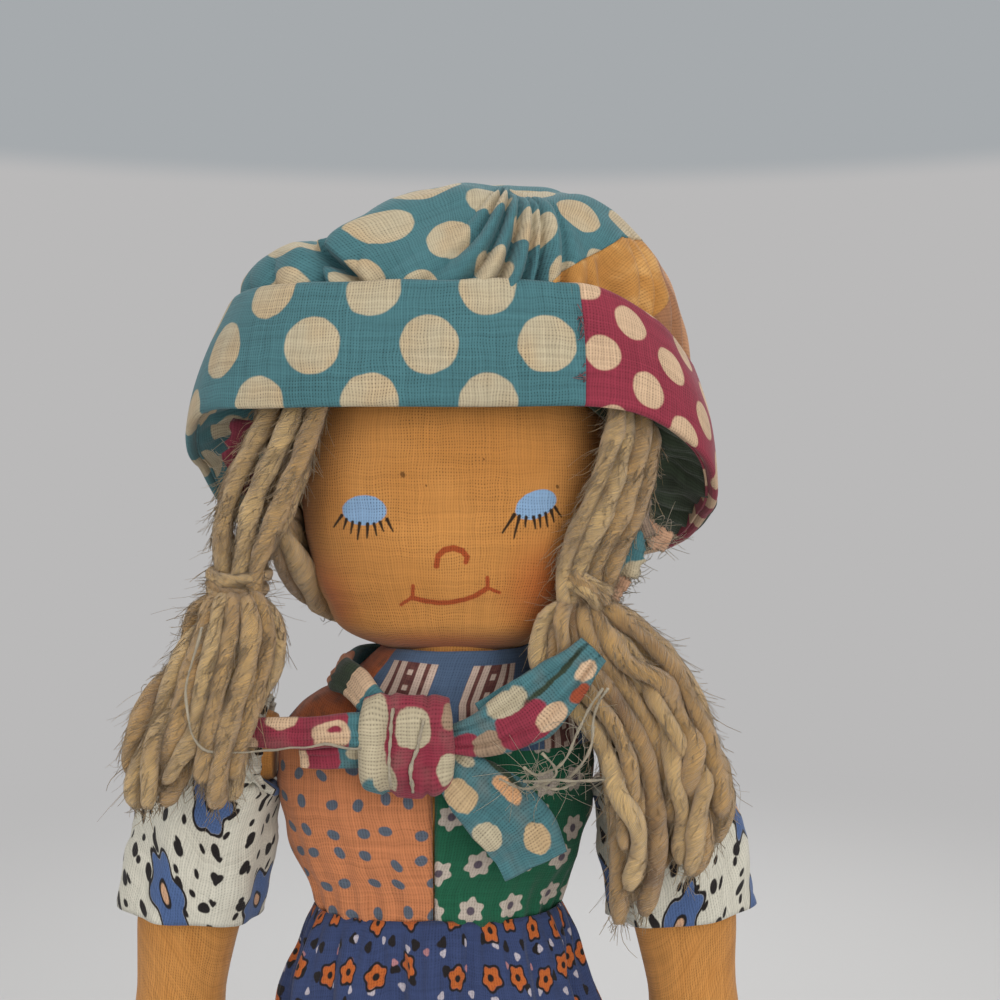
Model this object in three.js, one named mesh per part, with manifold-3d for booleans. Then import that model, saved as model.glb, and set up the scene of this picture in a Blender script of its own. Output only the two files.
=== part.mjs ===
// Patchwork rag doll with a gathered, turned-up cap, as a three.js scene graph.
// Lengths are in millimetres, +Z is up, the doll faces -Y and its left hand is on +X.
// Heights are worked out from the soles, and the finished group is then lowered so that
// its origin lies in the middle of the chest, where a hand holds the doll.
import * as THREE from 'three';
import { mergeVertices } from 'three/addons/utils/BufferGeometryUtils.js';
import Module from 'manifold-3d';

const wasm = await Module();
wasm.setup();

// Cloth and fit
const clearance = 0.3;
const cloth = 0.9;
const dressEase = 0.6;
const doubledCloth = 1.7;
const overrun = 6;

// Legs, shoes and the unstuffed strip that the doll folds at when it sits
const legLength = 57.5;
const legWidth = 14;
const legDepth = 13;
const legSpacing = 17.4;
const shoeLength = 24;
const shoeWidth = 15.4;
const shoeHeight = 13.5;
const shoeWall = 1.4;
const toeReach = 13;
const hipStripHeight = 6.6;
const hipStripWidth = 29;
const hipStripThickness = 1.2;

// Torso and neck
const torsoHeight = 47;
const torsoWidth = 38;
const torsoDepth = 18.6;
const neckRadius = 7;
const neckBallRadius = 7.6;
const neckRise = 6.2;
const headLean = 2.5;

// Arms, which hang clear of the dress
const armSeamHeight = 40.3;
const armLength = 40.5;
const armSpread = 12.8;
const armWidth = 13.4;
const armSeamGap = 0.4;
const sleeveEase = 0.55;
const sleeveFlare = 1.1;

// Dress
const yokeDrop = 5.4;
const collarRadius = 8.2;
const collarRise = 4.5;
const waistHeight = 20.2;
const skirtLength = 47;
const skirtHemWidth = 51;
const skirtHemDepth = 34;
const skirtFoldDepth = 1.7;
const skirtFoldCount = 12;

// Neckerchief: a strip round the neck, tied in front
const knotWidth = 8.8;
const knotHeight = 10;
const knotDepth = 6;
const knotSide = -1.8;
const knotRise = 2;
const strapWidth = 3;
const strapThickness = 1;
const strapSpread = 17.2;
const loopLength = 14.6;
const loopHeight = 4.6;
const loopDepth = 4.2;
const bandLength = 17;
const bandWidth = 6.2;
const bandThickness = 3;
const bandLiftDegrees = 25;
const tailLength = 17;
const tailWidth = 8;
const tailThickness = 1.8;
const tailSwingDegrees = 52;

// Head and hair
const headHeight = 46;
const headWidth = 39.6;
const headDepth = 31.4;
const hairThickness = 2.6;
const hairHeight = 37;
const hairRise = 4;
const braidWidth = 6;
const braidHeight = 23;
const braidTopRise = 27;
const tieYarn = 1.1;
const tieTurnCount = 3;
const leftTuftLength = 41;
const leftTuftWidth = 13.5;
const rightTuftLength = 24;
const rightTuftWidth = 12.5;
const tuftDepth = 8;

// Cap: headband, underside, turned-up brim and gathered crown
const brimWidth = 70;
const brimDepth = 49;
const brimHeight = 15.1;
const brimFrontRise = 29.3;
const brimDrop = 20.5;
const brimBack = 4.6;
const brimLeanIn = 1.6;
const headbandHeight = 5;
const headbandWidth = 47.2;
const headbandDepth = 36.6;
const headbandBack = 1.7;
const headbandRise = 2;
const crownRise = 14.8;
const crownSide = 6;
const crownBack = 3;
const crownTuck = 2;
const gatherCount = 22;
const gatherDepth = 1;
const goreRise = 6.8;

// How square the rings of the forms are: 2 is an ellipse
const torsoSquareness = 2.3;
const headSquareness = 2.15;
const footSquareness = 2.4;
const knotSquareness = 2.8;
const stripSquareness = 2.6;
const headbandSquareness = 2.2;
const capSquareness = 2.7;

// How many straight steps the round forms take
const bodySteps = 24;
const headSteps = 26;
const limbSteps = 16;
const thinSteps = 10;

// Heights that follow from the sizes above, from the soles up
const hipStripBase = legLength + clearance;
const torsoBase = hipStripBase + hipStripHeight + clearance;
const torsoTop = torsoBase + torsoHeight;
const neckBase = torsoTop + clearance;
const headPivot = torsoTop + neckRise;
const chin = headPivot + clearance;
const armSeam = torsoBase + armSeamHeight;
const waist = torsoBase + waistHeight;
const yokeBase = torsoTop - yokeDrop;
const collarTop = torsoTop + collarRise;
const chestMiddle = waist + (yokeBase - waist) / 2;

// Outlines, each row as shares: height, half width, half depth
const headProfileShares = [
  [0, 0.44, 0.42],
  [0.03, 0.64, 0.62],
  [0.13, 0.85, 0.84],
  [0.26, 0.96, 0.96],
  [0.4, 1, 1],
  [0.57, 0.985, 1],
  [0.7, 0.92, 0.95],
  [0.83, 0.76, 0.8],
  [0.93, 0.49, 0.53],
  [1, 0.06, 0.07],
];
const torsoProfileShares = [
  [0, 0.72, 0.12],
  [0.06, 0.79, 0.5],
  [0.2, 0.83, 0.88],
  [0.43, 0.74, 0.84],
  [0.64, 0.93, 0.97],
  [0.8, 1, 1],
  [0.9, 0.95, 0.94],
  [0.96, 0.8, 0.86],
  [1, 0.56, 0.8],
];
const legProfileShares = [
  [0, 0.72, 0.7],
  [0.1, 0.8, 0.78],
  [0.3, 0.84, 0.84],
  [0.6, 0.97, 0.98],
  [0.82, 1, 1],
  [0.93, 0.94, 0.72],
  [1, 0.84, 0.17],
];
const armProfileShares = [
  [0, 0.62, 0.5],
  [0.12, 0.86, 0.84],
  [0.3, 1, 1],
  [0.6, 0.98, 0.98],
  [0.78, 0.84, 0.84],
  [0.9, 0.82, 0.8],
  [0.97, 0.6, 0.56],
  [1, 0.16, 0.14],
];
const tuftProfileShares = [
  [0, 0.4, 0.62],
  [0.15, 0.52, 0.8],
  [0.4, 0.88, 1],
  [0.65, 1, 1],
  [0.85, 0.8, 0.85],
  [1, 0.4, 0.5],
];

// Brim edge: how far it has dropped, as a share of the whole drop from front to back,
// at twelve places round the head, from the front towards the doll's left
const brimDropShares = [0, 0.02, 0.3, 0.62, 0.84, 0.96, 1, 0.93, 0.72, 0.3, 0.02, 0];

// Smooth curve through the rows of a table whose first column runs from 0 to 1
function smoothRow(table, share) {
  const last = table.length - 1;
  let low = 0;
  while (low < last - 1 && share > table[low + 1][0]) low += 1;
  const before = table[Math.max(low - 1, 0)];
  const start = table[low];
  const end = table[low + 1];
  const after = table[Math.min(low + 2, last)];
  const span = end[0] - start[0];
  const t = THREE.MathUtils.clamp((share - start[0]) / span, 0, 1);
  return start.slice(1).map((value, k) => {
    const column = k + 1;
    const slopeIn = low === 0 ? end[column] - value
      : (end[column] - before[column]) / (end[0] - before[0]) * span;
    const slopeOut = low + 2 > last ? end[column] - value
      : (after[column] - value) / (after[0] - start[0]) * span;
    const t2 = t * t;
    const t3 = t2 * t;
    return (2 * t3 - 3 * t2 + 1) * value + (t3 - 2 * t2 + t) * slopeIn
      + (3 * t2 - 2 * t3) * end[column] + (t3 - t2) * slopeOut;
  });
}

// Value that runs smoothly round a closed ring of shares
function roundShare(shares, turn) {
  const place = ((turn % 1) + 1) % 1 * shares.length;
  const low = Math.floor(place);
  const t = place - low;
  const at = (k) => shares[(low + k + shares.length) % shares.length];
  const slopeIn = (at(1) - at(-1)) / 2;
  const slopeOut = (at(2) - at(0)) / 2;
  const t2 = t * t;
  const t3 = t2 * t;
  return (2 * t3 - 3 * t2 + 1) * at(0) + (t3 - 2 * t2 + t) * slopeIn
    + (3 * t2 - 2 * t3) * at(1) + (t3 - t2) * slopeOut;
}

// Point on a rounded-square ring; turn 0 is the front (-Y) and 0.25 the doll's left (+X)
function ringPoint(turn, halfWidth, halfDepth, squareness = 2) {
  const angle = turn * 2 * Math.PI;
  const power = 2 / squareness;
  const x = Math.sign(Math.sin(angle)) * Math.abs(Math.sin(angle)) ** power;
  const y = -Math.sign(Math.cos(angle)) * Math.abs(Math.cos(angle)) ** power;
  return new THREE.Vector3(x * halfWidth, y * halfDepth, 0);
}

// Surface of a stuffed form that stands upright on a profile table
function uprightSurface(profile, base, height, width, depth, squareness = 2) {
  return (turn, share) => {
    const [wide, deep] = smoothRow(profile, share);
    const point = ringPoint(turn, wide * width / 2, deep * depth / 2, squareness);
    point.z = base + share * height;
    return point;
  };
}

// Surface swept along a curve in a front-facing plane; width is measured across the
// curve in that plane and depth from front to back
function sweptSurface(curve, profile, width, depth) {
  const front = new THREE.Vector3(0, -1, 0);
  return (turn, share) => {
    const centre = curve.getPointAt(share);
    const along = curve.getTangentAt(share);
    const across = new THREE.Vector3().crossVectors(along, front).normalize();
    const facing = new THREE.Vector3().crossVectors(across, along).normalize();
    const [wide, deep] = smoothRow(profile, share);
    const ring = ringPoint(turn, wide * width / 2, deep * depth / 2);
    return centre.addScaledVector(across, ring.x).addScaledVector(facing, -ring.y);
  };
}

// The same surface moved out along its own normal
function offsetSurface(surface, distance) {
  const step = 0.002;
  return (turn, share) => {
    const low = Math.max(share - step, 0);
    const high = Math.min(share + step, 1);
    const round = surface(turn + step, share).sub(surface(turn - step, share));
    const along = surface(turn, high).sub(surface(turn, low));
    const normal = round.cross(along).normalize();
    return surface(turn, share).addScaledVector(normal, distance);
  };
}

function signedVolume(points, triangles) {
  let volume = 0;
  for (const [a, b, c] of triangles) {
    volume += points[a].dot(points[b].clone().cross(points[c]));
  }
  return volume;
}

// Indexed geometry from points and triangles, with the faces turned to point out
function closedGeometry(points, triangles) {
  const inside = signedVolume(points, triangles) < 0;
  const index = triangles.flatMap(([a, b, c]) => (inside ? [a, c, b] : [a, b, c]));
  const geometry = new THREE.BufferGeometry();
  const positions = points.flatMap((point) => point.toArray());
  geometry.setAttribute('position', new THREE.Float32BufferAttribute(positions, 3));
  geometry.setIndex(index);
  geometry.computeVertexNormals();
  return geometry;
}

// Rows close together near both ends, where a stuffed form turns in quickly
function roundedRows(steps) {
  const row = (k) => (1 - Math.cos(Math.PI * k / steps)) / 2;
  return Array.from({ length: steps + 1 }, (unused, k) => row(k));
}

function evenRows(from, to, steps) {
  return Array.from({ length: steps + 1 }, (unused, k) => from + (to - from) * k / steps);
}

// Closed stuffed form: rings of a surface, capped at both ends
function stuffed(surface, steps, rows) {
  const points = [];
  const triangles = [];
  for (const row of rows) {
    for (let k = 0; k < steps; k += 1) points.push(surface(k / steps, row));
  }
  for (let row = 0; row < rows.length - 1; row += 1) {
    for (let k = 0; k < steps; k += 1) {
      const a = row * steps + k;
      const b = row * steps + (k + 1) % steps;
      triangles.push([a, b, b + steps], [a, b + steps, a + steps]);
    }
  }
  for (const row of [0, rows.length - 1]) {
    const ring = points.slice(row * steps, (row + 1) * steps);
    const centre = points.push(ring.reduce((sum, point) => sum.add(point), new THREE.Vector3())
      .divideScalar(steps)) - 1;
    for (let k = 0; k < steps; k += 1) {
      const a = row * steps + k;
      const b = row * steps + (k + 1) % steps;
      triangles.push(row === 0 ? [centre, b, a] : [centre, a, b]);
    }
  }
  return closedGeometry(points, triangles);
}

// Closed cloth form between two surfaces, all the way round or over part of a turn
function clothPiece(outer, inner, turns, rows) {
  const [from, to, steps] = turns;
  const wraps = to - from === 1;
  const columns = wraps ? steps : steps + 1;
  const layer = columns * rows.length;
  const points = [];
  const triangles = [];
  for (const surface of [outer, inner]) {
    for (const row of rows) {
      for (let k = 0; k < columns; k += 1) {
        points.push(surface(from + (to - from) * k / steps, row));
      }
    }
  }
  const at = (side, k, row) => side * layer + row * columns + k % columns;
  const quad = (a, b, c, d) => triangles.push([a, b, c], [a, c, d]);
  for (let k = 0; k < steps; k += 1) {
    for (let row = 0; row < rows.length - 1; row += 1) {
      quad(at(0, k, row), at(0, k + 1, row), at(0, k + 1, row + 1), at(0, k, row + 1));
      quad(at(1, k, row), at(1, k, row + 1), at(1, k + 1, row + 1), at(1, k + 1, row));
    }
    const top = rows.length - 1;
    quad(at(0, k, 0), at(1, k, 0), at(1, k + 1, 0), at(0, k + 1, 0));
    quad(at(0, k, top), at(0, k + 1, top), at(1, k + 1, top), at(1, k, top));
  }
  if (!wraps) {
    for (let row = 0; row < rows.length - 1; row += 1) {
      quad(at(0, 0, row), at(0, 0, row + 1), at(1, 0, row + 1), at(1, 0, row));
      quad(at(0, steps, row), at(1, steps, row), at(1, steps, row + 1), at(0, steps, row + 1));
    }
  }
  return closedGeometry(points, triangles);
}

// Booleans: three.js geometry goes in, a manifold solid comes out, and back again
function toSolid(geometry) {
  const bare = geometry.clone();
  bare.deleteAttribute('normal');
  bare.deleteAttribute('uv');
  const merged = mergeVertices(bare);
  const vertProperties = new Float32Array(merged.attributes.position.array);
  const triVerts = new Uint32Array(merged.index.array);
  return new wasm.Manifold(new wasm.Mesh({ numProp: 3, vertProperties, triVerts }));
}

function toGeometry(solid) {
  const mesh = solid.getMesh();
  const geometry = new THREE.BufferGeometry();
  geometry.setAttribute('position', new THREE.Float32BufferAttribute(mesh.vertProperties, 3));
  geometry.setIndex(Array.from(mesh.triVerts));
  geometry.computeVertexNormals();
  return geometry;
}

function cutAway(geometry, ...cutters) {
  const rest = cutters.reduce((solid, cutter) => solid.subtract(toSolid(cutter)), toSolid(geometry));
  return toGeometry(rest);
}

function keepWithin(geometry, cutter) {
  return toGeometry(toSolid(geometry).intersect(toSolid(cutter)));
}

// Upright wedge that takes one gore out of a round cap, between two turns from the front
function wedge(from, to, centre, inset, outset, reach) {
  const outline = new THREE.Shape();
  const arcSteps = 8;
  const corner = (turn, distance) => {
    const angle = turn * 2 * Math.PI;
    return [centre.x + Math.sin(angle) * distance, centre.y - Math.cos(angle) * distance];
  };
  for (let k = 0; k <= arcSteps; k += 1) {
    const [x, y] = corner(from + (to - from) * k / arcSteps, inset);
    if (k === 0) outline.moveTo(x, y);
    else outline.lineTo(x, y);
  }
  for (let k = arcSteps; k >= 0; k -= 1) {
    outline.lineTo(...corner(from + (to - from) * k / arcSteps, outset));
  }
  return new THREE.ExtrudeGeometry(outline, { depth: reach, bevelEnabled: false });
}

const doll = new THREE.Group();
doll.position.z = -chestMiddle;
const headGroup = new THREE.Group();
headGroup.position.x = headLean;
doll.add(headGroup);

function finish(color, roughness) {
  return new THREE.MeshStandardMaterial({ color, roughness, metalness: 0 });
}

function addPiece(group, name, geometry, color, roughness = 0.95) {
  const mesh = new THREE.Mesh(geometry, finish(color, roughness));
  mesh.name = name;
  group.add(mesh);
  return mesh;
}

const colours = {
  muslin: '#b4783f',
  teal: '#477178',
  maroon: '#85373c',
  mustard: '#b7863f',
  tan: '#8c6848',
  darkGreen: '#30403a',
  orange: '#a9673c',
  green: '#27543f',
  blue: '#4a5a69',
  navy: '#34406a',
  white: '#b9b6aa',
  yarn: '#b58e5c',
  shoe: '#4c3428',
};

// Torso: stuffed muslin, drawn in at the waist and sewn flat at the hip
const torsoSurface = uprightSurface(torsoProfileShares, torsoBase, torsoHeight, torsoWidth,
  torsoDepth, torsoSquareness);
addPiece(doll, 'torso', stuffed(torsoSurface, bodySteps, roundedRows(11)), colours.muslin);

// Neck: a stuffed stub whose ball end sits in the head
const neckSurface = (() => {
  const shoulder = Math.asin(neckRadius / neckBallRadius);
  const stubShare = 0.3;
  const ballBase = headPivot - neckBallRadius * Math.cos(shoulder);
  return (turn, share) => {
    const angle = Math.PI - shoulder - (share - stubShare) / (1 - stubShare) * (Math.PI - shoulder);
    const onStub = share < stubShare;
    const radius = onStub ? neckRadius : neckBallRadius * Math.sin(Math.max(angle, 0.02));
    const point = ringPoint(turn, radius, radius);
    const stub = neckBase + (ballBase - neckBase) * share / stubShare;
    point.z = onStub ? stub : headPivot + neckBallRadius * Math.cos(Math.max(angle, 0));
    return point;
  };
})();
addPiece(headGroup, 'neck', stuffed(neckSurface, limbSteps + 2, evenRows(0, 1, 8)), colours.muslin);

// Head: one stuffed form with a broad round jaw, hollowed underneath for the neck
const headSurface = uprightSurface(headProfileShares, chin, headHeight, headWidth, headDepth,
  headSquareness);
const neckSocket = new THREE.SphereGeometry(neckBallRadius + clearance, limbSteps + 2, 10);
neckSocket.rotateX(Math.PI / 2);
neckSocket.translate(0, 0, headPivot);
addPiece(headGroup, 'head', cutAway(stuffed(headSurface, headSteps, roundedRows(13)), neckSocket),
  colours.muslin);

// Hair at the back: a layer of yarn over the head from ear to ear, and under the cap
const hairRows = evenRows(hairRise / headHeight, (hairRise + hairHeight) / headHeight, 7);
const hairEdge = 5;
const hairTurns = [hairEdge / headSteps, 1 - hairEdge / headSteps, headSteps - 2 * hairEdge];
addPiece(headGroup, 'hair_back', clothPiece(offsetSurface(headSurface, clearance + hairThickness),
  offsetSurface(headSurface, clearance), hairTurns, hairRows), colours.yarn);

// Bodice: front halves in two prints and a back, worn over the torso
const bodiceOuter = offsetSurface(torsoSurface, dressEase + cloth);
const bodiceInner = offsetSurface(torsoSurface, dressEase);
const bodiceRows = evenRows((waist - torsoBase + clearance) / torsoHeight,
  (yokeBase - torsoBase) / torsoHeight, 5);
const sideSeamTurn = 0.26;
const seamTurn = clearance / (2 * torsoWidth);
const bodicePanels = [
  ['bodice_left', seamTurn, sideSeamTurn - seamTurn, 9, colours.green],
  ['bodice_right', 1 - sideSeamTurn + seamTurn, 1 - seamTurn, 9, colours.orange],
  ['bodice_back', sideSeamTurn + seamTurn, 1 - sideSeamTurn - seamTurn, 16, colours.maroon],
];
for (const [name, from, to, steps, color] of bodicePanels) {
  addPiece(doll, name, clothPiece(bodiceOuter, bodiceInner, [from, to, steps], bodiceRows), color);
}

// Yoke: lies over the shoulders and stands up round the neck as a plain collar
const yokeStart = (yokeBase + clearance - torsoBase) / torsoHeight;
const shoulderShare = 0.985;
const collarShare = 0.62;
function yokeSurface(distance) {
  const over = offsetSurface(torsoSurface, dressEase + distance);
  return (turn, share) => {
    if (share <= collarShare) {
      return over(turn, yokeStart + (shoulderShare - yokeStart) * share / collarShare);
    }
    const rise = (share - collarShare) / (1 - collarShare);
    const shoulder = over(turn, shoulderShare);
    const collar = ringPoint(turn, collarRadius + distance, collarRadius + distance);
    collar.x += headLean;
    collar.z = collarTop;
    return shoulder.lerp(collar, rise);
  };
}
addPiece(doll, 'yoke', clothPiece(yokeSurface(cloth), yokeSurface(0), [0, 1, bodySteps],
  evenRows(0, 1, 6)), colours.blue);

// Skirt: gathered at the waist, falling in folds that deepen towards the hem
const skirtTop = waist - clearance;
function skirtSurface(distance) {
  const [wide, deep] = smoothRow(torsoProfileShares, waistHeight / torsoHeight);
  return (turn, share) => {
    const waistRing = ringPoint(turn, wide * torsoWidth / 2 + dressEase + distance,
      deep * torsoDepth / 2 + dressEase + distance, torsoSquareness);
    const hemRing = ringPoint(turn, skirtHemWidth / 2 + distance, skirtHemDepth / 2 + distance);
    const fall = 1 - share;
    const spread = fall ** 0.8;
    const fold = Math.cos(turn * 2 * Math.PI * skirtFoldCount)
      + 0.35 * Math.cos(turn * 2 * Math.PI * (skirtFoldCount / 2 + 1) + 1);
    const ring = waistRing.lerp(hemRing, spread);
    const out = ring.clone().normalize();
    ring.addScaledVector(out, skirtFoldDepth * fold * Math.min(1, fall * 2.5));
    ring.z = skirtTop - skirtLength * fall;
    return ring;
  };
}
addPiece(doll, 'skirt', clothPiece(skirtSurface(cloth), skirtSurface(0), [0, 1, 60],
  evenRows(0, 1, 5)), colours.navy);

// Neckerchief knot, its folded loop, its slanting band and its hanging end
const knotHeightPlace = yokeBase + knotRise;
const chestFront = -(torsoDepth / 2 + dressEase + cloth + clearance);
const knotCentre = new THREE.Vector3(knotSide, chestFront - knotDepth / 2, knotHeightPlace);

// A soft bar of cloth along +X from its near end, as wide, tall and deep as given
function softBar(length, height, depth, steps) {
  const barProfileShares = [
    [0, 0.55, 0.55],
    [0.12, 0.8, 0.85],
    [0.5, 1, 1],
    [0.9, 0.9, 0.9],
    [1, 0.5, 0.5],
  ];
  const surface = (turn, share) => {
    const [tall, deep] = smoothRow(barProfileShares, share);
    const ring = ringPoint(turn, tall * height / 2, deep * depth / 2, stripSquareness);
    return new THREE.Vector3(share * length, ring.y, ring.x);
  };
  return stuffed(surface, thinSteps + 2, evenRows(0, 1, steps));
}

const knotProfileShares = [
  [0, 0.62, 0.6],
  [0.12, 0.9, 0.9],
  [0.5, 0.94, 1],
  [0.88, 0.9, 0.9],
  [1, 0.62, 0.6],
];
const knotSurface = uprightSurface(knotProfileShares, knotHeightPlace - knotHeight / 2, knotHeight,
  knotWidth, knotDepth, knotSquareness);
const knot = stuffed(knotSurface, limbSteps, evenRows(0, 1, 6));
knot.translate(knotCentre.x, knotCentre.y, 0);
addPiece(doll, 'bow_knot', knot, colours.maroon);

function placeOnKnot(geometry, turnDegrees, side, rise) {
  geometry.translate(knotWidth / 2 + 2 * clearance, 0, 0);
  geometry.rotateY(-THREE.MathUtils.degToRad(turnDegrees));
  geometry.translate(knotCentre.x + side, knotCentre.y - bandThickness / 6, knotCentre.z + rise);
  return geometry;
}
addPiece(doll, 'bow_loop', placeOnKnot(softBar(loopLength, loopHeight, loopDepth, 7), 180, 0,
  knotHeight / 8), colours.maroon);
addPiece(doll, 'bow_band', placeOnKnot(softBar(bandLength, bandWidth, bandThickness, 7), bandLiftDegrees,
  knotWidth / 24, 0), colours.teal);
addPiece(doll, 'bow_tail', placeOnKnot(softBar(tailLength, tailWidth, tailThickness, 6),
  -tailSwingDegrees, 0, -knotHeight / 5), colours.teal);

// Neck strap: the same strip, from over the knot round the back of the neck
const strapHeights = {
  front: knotHeightPlace + knotHeight / 2 + clearance + strapWidth / 2,
  side: collarTop + strapWidth / 4,
  back: collarTop - strapWidth / 4,
};
const strapFront = chestFront - strapThickness / 2;
const strapBack = torsoDepth / 2 + strapThickness;
function strapHalf(side) {
  const point = (wide, y, z) => new THREE.Vector3(headLean / 2 + side * wide, y, z);
  return [
    new THREE.Vector3(knotSide + side * clearance, strapFront, strapHeights.front),
    point(strapSpread * 0.42, strapFront * 0.98, strapHeights.front),
    point(strapSpread * 0.78, strapFront * 0.6, strapHeights.side),
    point(strapSpread * 0.9, 0, strapHeights.side),
    point(strapSpread * 0.62, strapBack * 0.85, strapHeights.back),
  ];
}
const strapCurve = new THREE.CatmullRomCurve3([
  ...strapHalf(1),
  new THREE.Vector3(headLean / 2, strapBack + strapThickness, strapHeights.back),
  ...strapHalf(-1).reverse(),
]);
const strapSurface = (turn, share) => {
  const centre = strapCurve.getPointAt(share);
  const along = strapCurve.getTangentAt(share);
  const across = new THREE.Vector3().crossVectors(along, new THREE.Vector3(0, 0, 1)).normalize();
  const up = new THREE.Vector3().crossVectors(across, along).normalize();
  const ring = ringPoint(turn, strapWidth / 2, strapThickness / 2, stripSquareness);
  return centre.addScaledVector(up, ring.x).addScaledVector(across, ring.y);
};
addPiece(doll, 'neck_strap', stuffed(strapSurface, thinSteps - 2, evenRows(0, 1, 20)),
  colours.teal);

// Arms and sleeves, made for the doll's left and mirrored for its right
const armSeamPlace = torsoWidth / 2 + dressEase + cloth + armSeamGap;
const armCurve = new THREE.CatmullRomCurve3([
  new THREE.Vector3(armSeamPlace, 0, armSeam),
  new THREE.Vector3(armSeamPlace + armSpread * 0.28, 0, armSeam),
  new THREE.Vector3(armSeamPlace + armSpread * 0.62, 0, armSeam - armLength * 0.15),
  new THREE.Vector3(armSeamPlace + armSpread * 0.76, 0, armSeam - armLength * 0.33),
  new THREE.Vector3(armSeamPlace + armSpread * 0.9, 0, armSeam - armLength * 0.65),
  new THREE.Vector3(armSeamPlace + armSpread, 0, armSeam - armLength),
]);
const armSurface = sweptSurface(armCurve, armProfileShares, armWidth, armWidth);
const sleeveStartShare = 0.13;
const sleeveEndShare = 0.56;
function sleeveSurface(distance) {
  return (turn, share) => {
    const along = sleeveStartShare + (sleeveEndShare - sleeveStartShare) * share;
    const ease = sleeveEase + sleeveFlare * share ** 2 + distance;
    return offsetSurface(armSurface, ease)(turn, along);
  };
}
function mirrored(geometry) {
  const copy = geometry.clone();
  copy.scale(-1, 1, 1);
  const index = Array.from(copy.index.array);
  for (let k = 0; k < index.length; k += 3) [index[k], index[k + 1]] = [index[k + 1], index[k]];
  copy.setIndex(index);
  copy.computeVertexNormals();
  return copy;
}
function addPair(group, name, geometry, color) {
  addPiece(group, `left_${name}`, geometry, color);
  addPiece(group, `right_${name}`, mirrored(geometry), color);
}
addPair(doll, 'arm', stuffed(armSurface, limbSteps, roundedRows(11)), colours.muslin);
addPair(doll, 'sleeve', clothPiece(sleeveSurface(cloth), sleeveSurface(0), [0, 1, limbSteps],
  evenRows(0, 1, 6)), colours.white);

// Hip strip: two layers of unstuffed cloth, where the doll folds to sit. Both edges are
// round, so that the torso and the legs can turn about them.
const stripRadius = hipStripThickness / 2;
const stripOutline = new THREE.Shape();
stripOutline.absarc(hipStripBase + hipStripHeight - stripRadius, 0, stripRadius,
  -Math.PI / 2, Math.PI / 2, false);
stripOutline.absarc(hipStripBase + stripRadius, 0, stripRadius, Math.PI / 2, Math.PI * 1.5, false);
stripOutline.closePath();
const hipStrip = new THREE.ExtrudeGeometry(stripOutline, {
  depth: hipStripWidth,
  bevelEnabled: false,
  curveSegments: 6,
});
hipStrip.translate(0, 0, -hipStripWidth / 2);
hipStrip.rotateY(-Math.PI / 2);
addPiece(doll, 'hip_strip', hipStrip, colours.muslin);

// Legs with their feet, and the shoes that fit round the feet
const ankle = shoeHeight * 0.62;
const footSole = shoeWall + clearance;
function footSurface(grow) {
  const length = shoeLength - 2 * shoeWall - 2 * clearance;
  const width = shoeWidth - 2 * shoeWall - 2 * clearance;
  const middle = shoeLength / 2 - toeReach;
  return (turn, share) => {
    const ring = ringPoint(turn, width / 2 + grow, length / 2 + grow, footSquareness);
    const ankleRing = ringPoint(turn, legProfileShares[1][1] * legWidth / 2 + grow,
      legProfileShares[1][2] * legDepth / 2 + grow);
    ring.y += middle;
    const rise = Math.max(0, (share - 0.3) / 0.7);
    const point = ring.lerp(ankleRing, rise * rise * (3 - 2 * rise));
    point.z = footSole - grow + (ankle + overrun - footSole + grow) * share;
    return point;
  };
}
const legShaft = uprightSurface(legProfileShares, ankle, legLength - ankle, legWidth, legDepth);
const legSolid = toSolid(stuffed(legShaft, limbSteps, roundedRows(9)))
  .add(toSolid(stuffed(footSurface(0), limbSteps, evenRows(0, 1, 5))));
const leg = toGeometry(legSolid);
const shoeBlock = (turn, share) => {
  const point = footSurface(clearance + shoeWall)(turn, share);
  point.z = share * (ankle + overrun);
  return point;
};
const shoeTop = new THREE.BoxGeometry(shoeWidth * 2, shoeLength * 2, shoeHeight * 2);
shoeTop.translate(0, 0, shoeHeight * 2);
const shoe = cutAway(stuffed(shoeBlock, limbSteps, evenRows(0, 1, 5)),
  stuffed(footSurface(clearance), limbSteps, evenRows(0, 1, 5)), shoeTop);
for (const [side, name] of [[1, 'left'], [-1, 'right']]) {
  const place = side * legSpacing / 2;
  addPiece(doll, `${name}_leg`, leg.clone().translate(place, 0, 0), colours.muslin);
  addPiece(doll, `${name}_shoe`, shoe.clone().translate(place, 0, 0), colours.shoe);
}

// Pigtails: one curve each, from the temple down. The upper stretch is plaited and bound
// near its end, and the rest hangs below it as a loose tuft.
const pigtailTop = chin + braidTopRise;
const pigtails = {
  left: {
    side: 1,
    tuftLength: leftTuftLength,
    tuftWidth: leftTuftWidth,
    topDrop: braidWidth,
    braidShares: [[1.05, 0.66], [1.01, 0.67], [0.98, 0.7], [0.93, 0.7]],
    tuftShares: [[1, 0.64, 0.1], [1.2, 0.74, 0.28], [1.3, 0.96, 0.52], [1.22, 1, 0.78],
      [1.08, 1, 1]],
  },
  right: {
    side: -1,
    tuftLength: rightTuftLength,
    tuftWidth: rightTuftWidth,
    topDrop: braidWidth / 3,
    braidShares: [[1.06, 0.64], [1.13, 0.64], [1.25, 0.62], [1.35, 0.6]],
    tuftShares: [[1.44, 0.66, 0.2], [1.54, 0.86, 0.52], [1.6, 1, 0.8], [1.66, 1, 1]],
  },
};
const braidProfileShares = [
  [0, 0.9, 0.9],
  [0.2, 1, 1],
  [0.7, 0.92, 0.92],
  [0.82, 0.8, 0.8],
  [1, 0.9, 0.9],
];
const tieShare = 0.82;

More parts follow.
